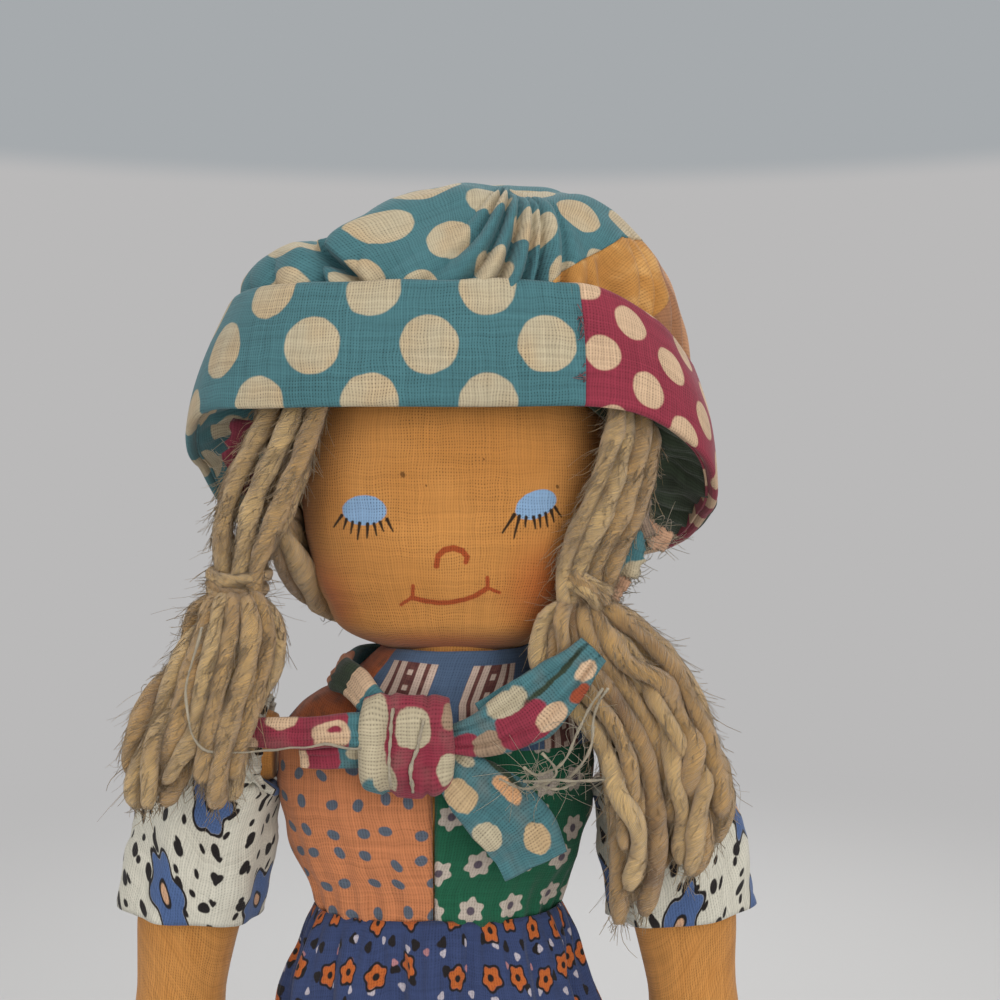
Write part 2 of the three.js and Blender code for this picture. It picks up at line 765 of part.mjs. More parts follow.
function pigtailCurve({ side, topDrop, tuftLength, braidShares, tuftShares }) {
  const braidBottom = pigtailTop - braidHeight;
  const top = pigtailTop - topDrop;
  const place = (x, y, z) => new THREE.Vector3(side * headWidth / 2 * x, -headDepth / 2 * y, z);
  const last = braidShares.length - 1;
  const plaited = braidShares.map(([x, y], k) => place(x, y, top + (braidBottom - top) * k / last));
  const loose = tuftShares.map(([x, y, z]) => place(x, y, braidBottom - tuftLength * z));
  return new THREE.CatmullRomCurve3([...plaited, ...loose]);
}

// Share of the curve's length at which it has come down to a height
function shareAtHeight(curve, height) {
  const steps = 400;
  let k = 0;
  while (k < steps && curve.getPointAt(k / steps).z > height) k += 1;
  return k / steps;
}

function tieRing(place, along) {
  const inner = braidProfileShares[3][1] * braidWidth / 2 + clearance * 2;
  const outline = [new THREE.Vector2(inner, 0)];
  for (let turn = 0; turn < tieTurnCount; turn += 1) {
    for (const [out, up] of [[0.4, 0.02], [1, 0.5], [0.4, 0.98]]) {
      outline.push(new THREE.Vector2(inner + tieYarn * out, (turn + up) * tieYarn));
    }
  }
  outline.push(new THREE.Vector2(inner, tieTurnCount * tieYarn));
  outline.push(outline[0].clone());
  const ring = new THREE.LatheGeometry(outline, thinSteps + 2);
  ring.translate(0, -tieTurnCount * tieYarn / 2, 0);
  ring.applyQuaternion(new THREE.Quaternion().setFromUnitVectors(new THREE.Vector3(0, 1, 0), along));
  ring.translate(place.x, place.y, place.z);
  return toGeometry(toSolid(ring));
}

for (const [name, pigtail] of Object.entries(pigtails)) {
  const curve = pigtailCurve(pigtail);
  const bound = shareAtHeight(curve, pigtailTop - braidHeight);
  const gapShare = clearance / curve.getLength();
  const part = (profile, width, depth, from, to) => {
    const centreLine = {
      getPointAt: (t) => curve.getPointAt(from + (to - from) * t),
      getTangentAt: (t) => curve.getTangentAt(from + (to - from) * t),
    };
    return sweptSurface(centreLine, profile, width, depth);
  };
  const braid = part(braidProfileShares, braidWidth, braidWidth, 0, bound);
  const tuft = part(tuftProfileShares, pigtail.tuftWidth, tuftDepth, bound + gapShare, 1);
  addPiece(headGroup, `${name}_braid`, stuffed(braid, thinSteps, evenRows(0, 1, 8)), colours.yarn);
  addPiece(headGroup, `${name}_tie`, tieRing(curve.getPointAt(bound * tieShare),
    curve.getTangentAt(bound * tieShare).negate()), colours.yarn);
  addPiece(headGroup, `${name}_tuft`, stuffed(tuft, thinSteps, evenRows(0, 1, 8)), colours.yarn);
}

// Cap. Every ring of it follows the brim edge, which hangs lower at the back and at the
// doll's left, so the underside, brim and crown all meet along the same line.
const brimFront = chin + brimFrontRise;
function edgeHeight(turn) {
  return brimFront - brimDrop * roundShare(brimDropShares, turn);
}
function capRing(turn, inset, rise) {
  const ring = ringPoint(turn, brimWidth / 2 - inset, brimDepth / 2 - inset, capSquareness);
  ring.y += brimBack;
  ring.z = edgeHeight(turn) + rise;
  return ring;
}
function brimSurface(inset) {
  return (turn, share) => {
    const bulge = Math.sin(share * Math.PI) * doubledCloth * 0.4;
    return capRing(turn, inset + brimLeanIn * share - bulge, brimHeight * share);
  };
}
const brim = clothPiece(brimSurface(0), brimSurface(doubledCloth), [0, 1, 54], evenRows(0, 1, 4));
const capReach = brimWidth;
const capCentre = new THREE.Vector3(0, brimBack, 0);
const capFloor = brimFront - brimDrop - overrun;
const capRoof = crownRise + brimHeight + brimDrop + 3 * overrun;
const seamShare = clearance / (Math.PI * brimDepth) / 2;
function capWedge(from, to, centre, roof = capRoof) {
  const block = wedge(from, to, centre, overrun, capReach, roof);
  block.translate(0, 0, capFloor);
  return block;
}
const brimSeamShares = [0.093, 0.36, 0.66];
const brimPanels = [
  ['brim_maroon', brimSeamShares[0], brimSeamShares[1], colours.maroon],
  ['brim_mustard', brimSeamShares[1], brimSeamShares[2], colours.mustard],
  ['brim_teal', brimSeamShares[2], brimSeamShares[0] + 1, colours.teal],
];
for (const [name, from, to, color] of brimPanels) {
  addPiece(headGroup, name, keepWithin(brim, capWedge(from + seamShare, to - seamShare,
    capCentre)), color);
}

// Headband: the part of the cap that grips the head, just above the brim edge
function headbandRing(turn, grow, rise) {
  const ring = ringPoint(turn, headbandWidth / 2 + grow, headbandDepth / 2 + grow, headbandSquareness);
  ring.y += headbandBack;
  ring.z = edgeHeight(turn) + headbandRise + rise;
  return ring;
}
addPiece(headGroup, 'cap_headband', clothPiece(
  (turn, share) => headbandRing(turn, cloth, headbandHeight * share),
  (turn, share) => headbandRing(turn, 0, headbandHeight * share), [0, 1, 32], [0, 1]),
colours.darkGreen);

// Underside: from the foot of the headband out to the inner face of the brim
function undersideSurface(rise) {
  return (turn, share) => {
    const inner = headbandRing(turn, cloth + clearance, rise);
    const outer = capRing(turn, doubledCloth + clearance + brimLeanIn * 0.2, rise);
    return outer.lerp(inner, share);
  };
}
addPiece(headGroup, 'cap_underside', clothPiece(undersideSurface(0), undersideSurface(cloth),
  [0, 1, 36], evenRows(0, 1, 2)), colours.darkGreen);

// Crown: a puff of cloth gathered into the top of the brim, each gather fading upwards
const crownApex = new THREE.Vector3(crownSide, crownBack, brimFront + brimHeight + crownRise);
function crownSurface(distance) {
  return (turn, share) => {
    const angle = share * Math.PI / 2;
    const tucked = brimLeanIn + doubledCloth + clearance;
    const base = capRing(turn, tucked, brimHeight - crownTuck);
    const inward = 1 - Math.cos(angle);
    const point = base.clone().lerp(crownApex, inward);
    point.z = base.z + (crownApex.z - base.z) * Math.sin(angle);
    const out = new THREE.Vector3(base.x, base.y - brimBack, 0).normalize();
    const gather = (1 + Math.cos(turn * 2 * Math.PI * gatherCount)) / 2;
    const fade = Math.max(0, 1 - share * 2.2);
    point.addScaledVector(out, -gatherDepth * gather * fade);
    const normal = out.multiplyScalar(Math.cos(angle));
    normal.z = Math.sin(angle);
    return point.addScaledVector(normal.normalize(), distance - cloth);
  };
}
const crownRows = evenRows(0, 0.96, 5);
const crownSteps = gatherCount * 3;
const crownDome = stuffed(crownSurface(cloth), crownSteps, crownRows);
const crownHollow = stuffed((turn, share) => {
  const point = crownSurface(0)(turn, Math.max(share, 0));
  if (share < 0) point.z -= overrun;
  return point;
}, crownSteps, [-1, ...crownRows]);
const crown = cutAway(crownDome, crownHollow);
// Two gores are let in low at the doll's left, and the teal cloth goes over them to the top
const goreRoof = brimFront + brimHeight + goreRise - capFloor;
const goreSeamShares = [0.075, 0.195, 0.3];
const gores = [
  ['crown_mustard', goreSeamShares[0], goreSeamShares[1], colours.mustard],
  ['crown_tan', goreSeamShares[1], goreSeamShares[2], colours.tan],
];
for (const [name, from, to, color] of gores) {
  addPiece(headGroup, name, keepWithin(crown, capWedge(from + seamShare, to - seamShare,
    crownApex, goreRoof - clearance)), color);
}
addPiece(headGroup, 'crown_teal', cutAway(crown, capWedge(goreSeamShares[0], goreSeamShares[2],
  crownApex, goreRoof)), colours.teal);

export default doll;
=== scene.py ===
"""Looks of the patchwork rag doll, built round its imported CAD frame.

Lengths are in millimetres until a mesh is made. +Z is up, the doll faces -Y and its left
hand is on +X. A "turn" is a share of the way round the body from the front (-Y) towards
the doll's left, as in the CAD source.
"""

import math

import bmesh
import bpy
import numpy as np
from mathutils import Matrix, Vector, noise


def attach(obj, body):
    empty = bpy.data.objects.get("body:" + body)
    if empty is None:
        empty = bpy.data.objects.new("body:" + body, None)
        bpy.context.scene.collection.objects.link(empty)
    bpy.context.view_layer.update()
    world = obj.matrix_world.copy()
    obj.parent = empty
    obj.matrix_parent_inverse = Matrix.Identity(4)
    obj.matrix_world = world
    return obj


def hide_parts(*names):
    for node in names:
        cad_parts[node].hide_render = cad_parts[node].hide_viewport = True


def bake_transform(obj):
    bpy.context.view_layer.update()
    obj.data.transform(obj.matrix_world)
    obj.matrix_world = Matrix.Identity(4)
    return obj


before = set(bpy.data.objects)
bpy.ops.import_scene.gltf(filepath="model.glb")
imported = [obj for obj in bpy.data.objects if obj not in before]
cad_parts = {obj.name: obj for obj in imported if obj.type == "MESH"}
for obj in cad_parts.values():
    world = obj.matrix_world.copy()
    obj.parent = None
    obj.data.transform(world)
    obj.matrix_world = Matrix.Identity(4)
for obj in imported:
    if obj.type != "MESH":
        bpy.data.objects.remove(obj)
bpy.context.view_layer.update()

MM = 0.001
FULL = 2 * math.pi

# Sizes that the CAD source also uses
HEAD_SIDE = 2.5
HEAD_BASE = 22.6
HEAD_HEIGHT = 46
HEAD_WIDE = 39.6
HEAD_DEEP = 31.4
HEAD_SQUARE = 2.15
BRIM_WIDE = 70
BRIM_DEEP = 49
BRIM_HEIGHT = 15.1
BRIM_EDGE = 51.9
BRIM_DROP = 20.5
BRIM_BACK = 4.6
BRIM_LEAN = 1.6
BRIM_SQUARE = 2.7
BRIM_DROP_SHARES = (0, 0.02, 0.3, 0.62, 0.84, 0.96, 1, 0.93, 0.72, 0.3, 0.02, 0)
BRIM_SEAMS = (0.093, 0.36, 0.66)
CROWN_TOP = 81.6
CROWN_SIDE = 6
CROWN_BACK = 3
TORSO_BASE = -30.9
TORSO_HEIGHT = 47
TORSO_WIDE = 38
TORSO_DEEP = 18.6
TORSO_SQUARE = 2.3
WAIST = -10.7
YOKE_BASE = 10.7
ARM_SEAM = 9.4
ARM_PLACE = 20.9
ARM_LENGTH = 40.5
ARM_SPREAD = 12.8
ARM_WIDE = 13.4
SOLE = -95.6

HEAD_ROWS = (
    (0, 0.44, 0.42), (0.03, 0.64, 0.62), (0.13, 0.85, 0.84), (0.26, 0.96, 0.96), (0.4, 1, 1),
    (0.57, 0.985, 1), (0.7, 0.92, 0.95), (0.83, 0.76, 0.8), (0.93, 0.49, 0.53), (1, 0.06, 0.07),
)
TORSO_ROWS = (
    (0, 0.72, 0.12), (0.06, 0.79, 0.5), (0.2, 0.83, 0.88), (0.43, 0.74, 0.84),
    (0.64, 0.93, 0.97), (0.8, 1, 1), (0.9, 0.95, 0.94), (0.96, 0.8, 0.86), (1, 0.56, 0.8),
)


# Shapes

def through(table, at):
    """Smooth values through the rows of a table whose first column runs from 0 to 1."""
    table = np.array(table, float)
    x, y = table[:, 0], table[:, 1:]
    slope = np.gradient(y, x, axis=0)
    at = np.asarray(at, float)
    k = np.clip(np.searchsorted(x, at, side="right") - 1, 0, len(x) - 2)
    h = (x[k + 1] - x[k])[..., None]
    t = (at[..., None] - x[k][..., None]) / h
    low = (2 * t**3 - 3 * t**2 + 1) * y[k] + (t**3 - 2 * t**2 + t) * h * slope[k]
    return low + (3 * t**2 - 2 * t**3) * y[k + 1] + (t**3 - t**2) * h * slope[k + 1]


def unit(vectors):
    """Vectors of length 1 in the same directions."""
    return vectors / np.maximum(np.linalg.norm(vectors, axis=-1, keepdims=True), 1e-9)


def stacked(*parts):
    """One array from arrays that fit together, with their values side by side."""
    return np.stack(np.broadcast_arrays(*parts), -1)


def smooth(t):
    """0 to 1 with soft starts and ends."""
    return t * t * (3 - 2 * t)


def run_along(line):
    """Length in mm along a line of points, from its first one."""
    return np.concatenate([[0], np.cumsum(np.linalg.norm(np.diff(line, axis=0), axis=1))])


def path(points, count):
    """Evenly spaced points on a smooth curve through a few given ones."""
    points = np.array(points, float)
    place = run_along(points)
    fine = through(np.column_stack([place / place[-1], points]),
                   np.linspace(0, 1, 12 * len(points)))
    run = run_along(fine)
    even = np.linspace(0, run[-1], count)
    return np.column_stack([np.interp(even, run, fine[:, k]) for k in range(points.shape[1])])


def ring(turn, half_wide, half_deep, square=2.0):
    """x and y on a rounded-square ring at a turn from the front."""
    s, c = np.sin(np.asarray(turn) * FULL), np.cos(np.asarray(turn) * FULL)
    power = 2 / square
    return np.sign(s) * np.abs(s) ** power * half_wide, -np.sign(c) * np.abs(c) ** power * half_deep


def for_grids(surface):
    """Lets a function of turn and share take any two arrays that fit together."""
    return lambda turn, share: surface(*np.broadcast_arrays(turn, share))


def upright(rows, base, height, wide, deep, square=2.0, side=0.0):
    """Surface of a stuffed form that stands on a profile table: (turn, share) to points."""
    @for_grids
    def surface(turn, share):
        across = through(rows, np.clip(share, 0, 1))
        x, y = ring(turn, wide / 2, deep / 2, square)
        return np.stack([side + x * across[..., 0], y * across[..., 1], base + share * height], -1)
    return surface


NORMAL_STEP = 0.002


def normals_of(surface, turn, share):
    """Outward normals of a surface of turn and share."""
    turn, share = np.broadcast_arrays(turn, share)
    round_it = surface(turn + NORMAL_STEP, share) - surface(turn - NORMAL_STEP, share)
    low, high = np.maximum(share - NORMAL_STEP, 0), np.minimum(share + NORMAL_STEP, 1)
    return unit(np.cross(round_it, surface(turn, high) - surface(turn, low)))


def run_of(points, axis):
    """Length in mm along a grid's rows or columns, from its first point."""
    steps = np.linalg.norm(np.diff(points, axis=axis), axis=-1)
    start = np.zeros_like(np.take(steps, [0], axis=axis))
    return np.cumsum(np.concatenate([start, steps], axis=axis), axis=axis)


def ripple(points, size, depth, seed=0.0):
    """Smooth random heights at points, for lumps and creases of this size in mm."""
    flat = np.asarray(points, float).reshape(-1, 3) / size + seed
    found = [noise.noise(Vector(p)) for p in flat]
    return (np.array(found) * depth).reshape(np.asarray(points).shape[:-1])


def closed(points):
    """A copy of a grid whose last column is its first, so that ripples meet round it."""
    same = points.copy()
    same[:, -1] = same[:, 0]
    return same


def bump_at(value, middle, width):
    """1 at the middle, fading to 0 over the width on each side."""
    return smooth(np.clip(1 - np.abs(value - middle) / width, 0, 1))


# Meshes

def new_mesh(name, points, faces, uv=None, tone=None):
    """Object from points in mm, faces, and UVs in mm for each face corner."""
    mesh = bpy.data.meshes.new(name)
    mesh.from_pydata([tuple(p) for p in np.asarray(points, float) * MM], [], faces)
    if uv is not None:
        layer = mesh.uv_layers.new(name="cloth")
        layer.data.foreach_set("uv", np.asarray(uv, np.float32).ravel())
    if tone is not None:
        values = mesh.attributes.new("tone", "FLOAT", "POINT")
        values.data.foreach_set("value", np.asarray(tone, np.float32))
    mesh.validate()
    mesh.shade_smooth()
    piece = bpy.data.objects.new(name, mesh)
    bpy.context.scene.collection.objects.link(piece)
    return piece


def grid_faces(rows, columns, wraps, offset=0):
    """Quads of a grid of points, and which grid place each corner's UV comes from."""
    r, c = np.meshgrid(np.arange(rows - 1), np.arange(columns if wraps else columns - 1),
                       indexing="ij")
    r, c = r.ravel(), c.ravel()
    corner = [(r, c), (r, c + 1), (r + 1, c + 1), (r + 1, c)]
    faces = np.stack([a * columns + b % columns for a, b in corner], -1) + offset
    places = np.stack([np.stack([a, b], -1) for a, b in corner], 1)
    return faces, places


def cloth_grid(name, points, uv, wraps=False, closed_ends=False):
    """Piece from a grid of points. Where it wraps, uv has one column more than points."""
    rows, columns = points.shape[:2]
    faces, places = grid_faces(rows, columns, wraps)
    corner_uv = uv[places[..., 0], places[..., 1]].reshape(-1, 2)
    faces = faces.tolist()
    flat = points.reshape(-1, 3)
    if closed_ends:
        ends = [points[0].mean(0), points[-1].mean(0)]
        for end, row in enumerate((0, rows - 1)):
            centre = len(flat) + end
            for k in range(columns):
                a, b = row * columns + k, row * columns + (k + 1) % columns
                faces.append([centre, b, a] if end == 0 else [centre, a, b])
                near, next_uv = uv[row, k], uv[row, min(k + 1, uv.shape[1] - 1)]
                middle = (near + next_uv) / 2
                order = [middle, next_uv, near] if end == 0 else [middle, near, next_uv]
                corner_uv = np.concatenate([corner_uv, order])
        flat = np.concatenate([flat, ends])
    return new_mesh(name, flat, faces, corner_uv)


# Thickness of each kind of cloth
BRIM_CLOTH = 0.34
CROWN_CLOTH = 0.34
LINING_CLOTH = 0.3
BAND_CLOTH = 0.4
DRESS_CLOTH = 0.36
FELT_CLOTH = 1.2


def thicken(piece, thickness):
    """Gives a sheet its cloth thickness, inward from its outer face."""
    modifier = piece.modifiers.new("solidify", "SOLIDIFY")
    modifier.thickness = thickness * MM
    modifier.offset = -1.0
    modifier.use_rim = True
    bpy.context.view_layer.update()
    graph = bpy.context.evaluated_depsgraph_get()
    finished = bpy.data.meshes.new_from_object(piece.evaluated_get(graph), depsgraph=graph)
    piece.modifiers.clear()
    old, piece.data = piece.data, finished
    bpy.data.meshes.remove(old)
    finished.name = piece.name
    return piece


def dress(piece, body, material, replaces=()):
    """Paints a piece, sets what it rides on and which solids it stands for."""
    piece.data.materials.append(material)
    if body:
        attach(piece, body)
    if replaces:
        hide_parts(*replaces)
    return piece


def frames_along(line):
    """Side and lift directions along a line, carried along without twist."""
    along = unit(np.gradient(line, axis=0))
    start = np.array([0, 0, 1.0]) if abs(along[0, 2]) < 0.8 else np.array([0, -1.0, 0])
    side = np.cross(along[0], start)
    sides = []
    for direction in along:
        side = unit(side - direction * side.dot(direction))
        sides.append(side)
    sides = np.array(sides)
    return sides, np.cross(along, sides)


YARN_TWIST = 1 / 15
YARN_ROUND = 9.0
PLIES = 3
TONE_STEP = 0.618


def strand_grid(line, radius, sides, lobe_depth, twist):
    """Twisted-yarn tube round a line: its points, with the radius given at each."""
    side, lift = frames_along(line)
    run = run_along(line)
    angle = np.linspace(0, FULL, sides, endpoint=False)
    lobe = 1 + lobe_depth * np.cos(PLIES * (angle[None, :] - run[:, None] * twist * FULL))
    slub = 1 + ripple(line, 3.4, 0.3, 3.0) * (lobe_depth > 0)
    size = (np.broadcast_to(radius, run.shape) * slub)[:, None] * lobe
    return (line[:, None, :] + side[:, None, :] * (np.cos(angle) * size)[..., None]
            + lift[:, None, :] * (np.sin(angle) * size)[..., None]), run


def yarns(name, lines, radii, sides=15, twist=YARN_TWIST, lobe_depth=0.05, tones=None):
    """One piece from many yarn strands, each closed at both ends."""
    points, faces, uv, tone, start = [], [], [], [], 0
    for n, (line, radius) in enumerate(zip(lines, radii)):
        tube, run = strand_grid(line, radius, sides, lobe_depth, twist)
        rows = len(line)
        quads, places = grid_faces(rows, sides, True, start)
        faces += quads[:, ::-1].tolist()
        round_it = np.arange(sides + 1) / sides * YARN_ROUND
        corner = np.stack([run[places[..., 0]], round_it[places[..., 1]]], -1)[:, ::-1]
        uv.append((corner + [0, YARN_ROUND * n]).reshape(-1, 2))
        tube = tube.reshape(-1, 3)
        for row, place in ((0, line[0]), (rows - 1, line[-1])):
            centre = start + len(tube)
            tube = np.concatenate([tube, [place]])
            for k in range(sides):
                a, b = start + row * sides + k, start + row * sides + (k + 1) % sides
                faces.append([centre, a, b] if row == 0 else [centre, b, a])
                uv.append(np.array([[run[row], YARN_ROUND * n]] * 3))
        points.append(tube)
        value = tones[n] if tones is not None else (n * TONE_STEP) % 1
        tone.append(np.full(len(tube), value))
        start += len(tube)
    return new_mesh(name, np.concatenate(points), faces, np.concatenate(uv),
                    np.concatenate(tone))


TOUCH_SHARE = 0.92
PUSH_SHARE = 0.6
SMOOTHING = 0.3
HOLD_FADE = 6


def spread_apart(lines, radii, hold, keep, rounds=26):
    """Moves strands off each other where they overlap, all but the first points of each."""
    count = len(lines[0])
    radius = np.concatenate([np.broadcast_to(r, count) for r in radii])
    owner = np.repeat(np.arange(len(lines)), count)
    free = np.tile(np.clip((np.arange(count) - hold) / HOLD_FADE, 0, 1), len(lines))[:, None]
    points = np.concatenate(lines)
    for _ in range(rounds):
        gap = points[:, None] - points[None]
        away = np.sqrt((gap ** 2).sum(-1)) + 1e-6
        push = np.clip((radius[:, None] + radius[None]) * TOUCH_SHARE - away, 0, None)
        push[owner[:, None] == owner[None]] = 0
        move = (gap * (push / away)[..., None]).sum(1) / np.maximum((push > 0).sum(1), 1)[:, None]
        points = points + move * free * PUSH_SHARE
        each = points.reshape(len(lines), count, 3)
        bend = each[:, :-2] + each[:, 2:] - 2 * each[:, 1:-1]
        each[:, 1:-1] += SMOOTHING * bend * free.reshape(len(lines), count, 1)[:, 1:-1]
        points = keep(each.reshape(-1, 3))
    return list(points.reshape(len(lines), count, 3))


def hairs(name, roots, directions, lengths, curl, seed, radius=0.035, steps=5):
    """Loose fibres from root points: thin curved threads."""
    random = np.random.default_rng(seed)
    lines, radii = [], []
    for n, (root, direction, length) in enumerate(zip(roots, directions, lengths)):
        t = np.linspace(0, 1, steps)[:, None]
        bend = random.normal(size=3) * curl
        wave = random.normal(size=3) * curl * 0.5
        line = root + direction * length * t + bend * length * t**2
        lines.append(line + wave * length * np.sin(t * math.pi) * 0.6)
        size = radius[n] if isinstance(radius, list) else radius
        radii.append(size * (1.15 - 0.6 * t[:, 0]))
    tones = random.uniform(0, 0.6, len(lines))
    return yarns(name, lines, radii, sides=3, lobe_depth=0, twist=0, tones=tones)


# Materials

THREAD_PITCH = 0.36
HALVES = (0.5, 0.5, 0.5)
NOWHERE = (0.0, 0.0, 0.0)


class Wiring:
    """Adds shader nodes to a tree and joins them."""

    def __init__(self, tree):
        self.tree = tree

    def add(self, kind, inputs=(), out=0, **settings):
        """Adds a node, sets it, feeds its inputs by place or name, and gives one output."""
        node = self.tree.nodes.new(kind)
        for key, value in settings.items():
            setattr(node, key, value)
        pairs = inputs.items() if isinstance(inputs, dict) else enumerate(inputs)
        for socket, value in pairs:
            self.feed(node.inputs[socket], value)
        return node.outputs[out]

    def feed(self, socket, value):
        """Joins a socket to an output, or sets its value."""
        if isinstance(value, bpy.types.NodeSocket):
            self.tree.links.new(value, socket)
        elif value is not None:
            socket.default_value = value

    def math(self, operation, *values, clamp=False):
        return self.add("ShaderNodeMath", values, operation=operation, use_clamp=clamp)

    def plus(self, a, b):
        return self.math("ADD", a, b)

    def minus(self, a, b):
        return self.math("SUBTRACT", a, b)

    def times(self, a, b, more=None):
        """a times b, plus more where it is given."""
        if more is None:
            return self.math("MULTIPLY", a, b)
        return self.math("MULTIPLY_ADD", a, b, more)

    def vector(self, operation, *values, out=0):
        return self.add("ShaderNodeVectorMath", values, out, operation=operation)

    def moved(self, a, b):
        """A vector moved by another."""
        return self.vector("ADD", a, b)

    def apart(self, a, b):
        """The way from vector b to vector a."""
        return self.vector("SUBTRACT", a, b)

    def length(self, vector):
        return self.vector("LENGTH", vector, out=1)

    def scale(self, vector, factor):
        """A vector made longer or shorter."""
        return self.add("ShaderNodeVectorMath", {0: vector, "Scale": factor}, operation="SCALE")

    def split(self, vector):
        """The three values of a vector."""
        node = self.add("ShaderNodeSeparateXYZ", [vector]).node
        return node.outputs[0], node.outputs[1], node.outputs[2]

    def join(self, x=0.0, y=0.0, z=0.0):
        """A vector from three values."""
        return self.add("ShaderNodeCombineXYZ", [x, y, z])

    def fade(self, value, low, high):
        """0 below low and 1 above high, smooth between them."""
        return self.add("ShaderNodeMapRange", {0: value, 1: low, 2: high},
                        interpolation_type="SMOOTHSTEP")

    def mix(self, factor, a, b):
        """Colour a, going over to b as the factor grows."""
        return self.add("ShaderNodeMix", {0: factor, 6: a, 7: b}, 2, data_type="RGBA")

    def noise(self, vector, scale, detail=2.0, out=0):
        return self.add("ShaderNodeTexNoise",
                        {"Vector": vector, "Scale": scale, "Detail": detail}, out)

    def patches(self, vector, scale, detail, low, high):
        """Soft patches of noise, from 0 to 1."""
        return self.fade(self.noise(vector, scale, detail), low, high)

    def shake(self, vector, scale, detail):
        """A small random shift that changes softly with the place."""
        return self.apart(self.noise(vector, scale, detail, "Color"), HALVES)

    def chance(self, cell):
        """Three random values that each cell has for its own."""
        return self.add("ShaderNodeTexWhiteNoise", {0: cell}, "Color")

    def use(self, group, **inputs):
        """The outputs of a node group with these inputs."""
        node = self.tree.nodes.new("ShaderNodeGroup")
        node.node_tree = group
        for key, value in inputs.items():
            self.feed(node.inputs[key.replace("_", " ").capitalize()], value)
        return node.outputs


def node_group(name, inputs, outputs, wire):
    """A node group whose nodes are added by a function of its wiring and its inputs."""
    tree = bpy.data.node_groups.new(name, "ShaderNodeTree")
    for label, value in inputs:
        kind = "Vector" if isinstance(value, tuple) else "Float"
        socket = tree.interface.new_socket(label, in_out="INPUT",
                                           socket_type="NodeSocket" + kind)
        socket.default_value = value
    for label in outputs:
        tree.interface.new_socket(label, in_out="OUTPUT", socket_type="NodeSocketFloat")
    w = Wiring(tree)
    start, end = tree.nodes.new("NodeGroupInput"), tree.nodes.new("NodeGroupOutput")
    for k, result in enumerate(wire(w, start.outputs)):
        w.feed(end.inputs[k], result)
    return tree


def wire_weave(w, i):
    """Plain weave: threads, the gaps between them, and thick and thin places."""
    at = w.vector("DIVIDE", i["Place"], w.join(i["Pitch"], i["Pitch"], 1.0))
    wander = w.shake(at, 0.11, 1.0)
    x, y, _ = w.split(w.moved(at, w.scale(wander, 2.2)))
    wave = [w.times(w.math("COSINE", w.times(v, FULL)), 0.5, 0.5) for v in (x, y)]
    warp = w.noise(w.join(x, w.times(y, 0.035), 0.0), 0.9, 1.0)
    weft = w.noise(w.join(w.times(x, 0.035), y, 7.0), 0.9, 1.0)
    hollow = w.minus(2.0, w.plus(wave[0], wave[1]))
    patchy = w.patches(at, 0.05, 2.0, 0.3, 0.62)
    torn = w.patches(at, 0.8, 1.0, 0.3, 0.6)
    patchy = w.times(w.times(patchy, 0.75, 0.25), w.times(torn, 0.6, 0.4))
    # Painted shade: the holes where threads cross and the valleys between the upright threads are
    # darkened; warp and weft noise varies the tone at random.
    gap = w.times(w.fade(hollow, 1.3, 1.85), patchy)
    ridge = w.times(w.minus(1.0, wave[0]), 0.42)
    uneven = w.minus(w.plus(warp, weft), 1.0)
    dim = w.times(gap, i["Gaps"], w.times(ridge, i["Threads"]))
    shade = w.times(uneven, i["Threads"], w.minus(1.0, dim))
    height = w.times(wave[1], 0.45, w.times(wave[0], 0.55))
    return shade, w.times(uneven, 0.7, height)


def wire_dots(w, i):
    """Printed spots in staggered rows."""
    blur = w.shake(i["Place"], 0.35, 1.0)
    place = w.vector("MULTIPLY", w.moved(i["Place"], w.scale(blur, i["Wobble"])),
                     (1.0, 1.0, 0.0))
    gap = w.join(i["Spacing"], w.times(i["Rows"], 2.0), 1.0)
    half = w.join(w.times(i["Spacing"], 0.5), i["Rows"], 0.0)
    away = []
    for shift, draw in ((None, 0.7), (half, 9.1)):
        at = place if shift is None else w.apart(place, shift)
        cell = w.vector("FLOOR", w.moved(w.vector("DIVIDE", at, gap), (0.5, 0.5, 0.0)))
        jitter = w.apart(w.chance(w.moved(cell, (0.3, draw, 0.0))), HALVES)
        centre = w.moved(w.vector("MULTIPLY", cell, gap), w.scale(jitter, i["Jitter"]))
        x, y, _ = w.split(w.apart(at, centre))
        away.append(w.length(w.join(x, y, 0.0)))
    nearest = w.math("MINIMUM", *away)
    edge = w.minus(nearest, i["Radius"])
    return [w.fade(edge, 0.14, -0.14)]


def wire_blossoms(w, i):
    """Small printed flowers at scattered places: petals, their outline and their eyes."""
    gap = i["Spacing"]
    at = w.vector("DIVIDE", i["Place"], w.join(gap, gap, 1.0))
    cell = w.vector("MULTIPLY", w.vector("FLOOR", at), (1.0, 1.0, 0.0))
    chance = w.chance(w.moved(cell, w.join(i["Seed"], 0.5, 0.5)))
    inside = w.apart(w.apart(at, cell), (0.5, 0.5, 0.0))
    shift = w.scale(w.apart(chance, HALVES), 0.36)
    x, y, _ = w.split(w.scale(w.apart(inside, shift), gap))
    away = w.length(w.join(x, y, 0.0))
    spin = w.times(w.split(chance)[2], FULL)
    angle = w.plus(w.math("ARCTAN2", y, x), spin)
    lobe = w.math("COSINE", w.times(angle, i["Petals"]))
    size = w.times(i["Radius"], w.times(lobe, 0.13, 0.87))
    edge = w.minus(away, size)
    petals = w.fade(edge, 0.1, -0.1)
    outline = w.minus(w.fade(w.minus(edge, i["Outline"]), 0.1, -0.1), petals)
    eye = w.fade(w.minus(away, w.times(i["Radius"], 0.3)), 0.1, -0.1)
    return petals, outline, eye


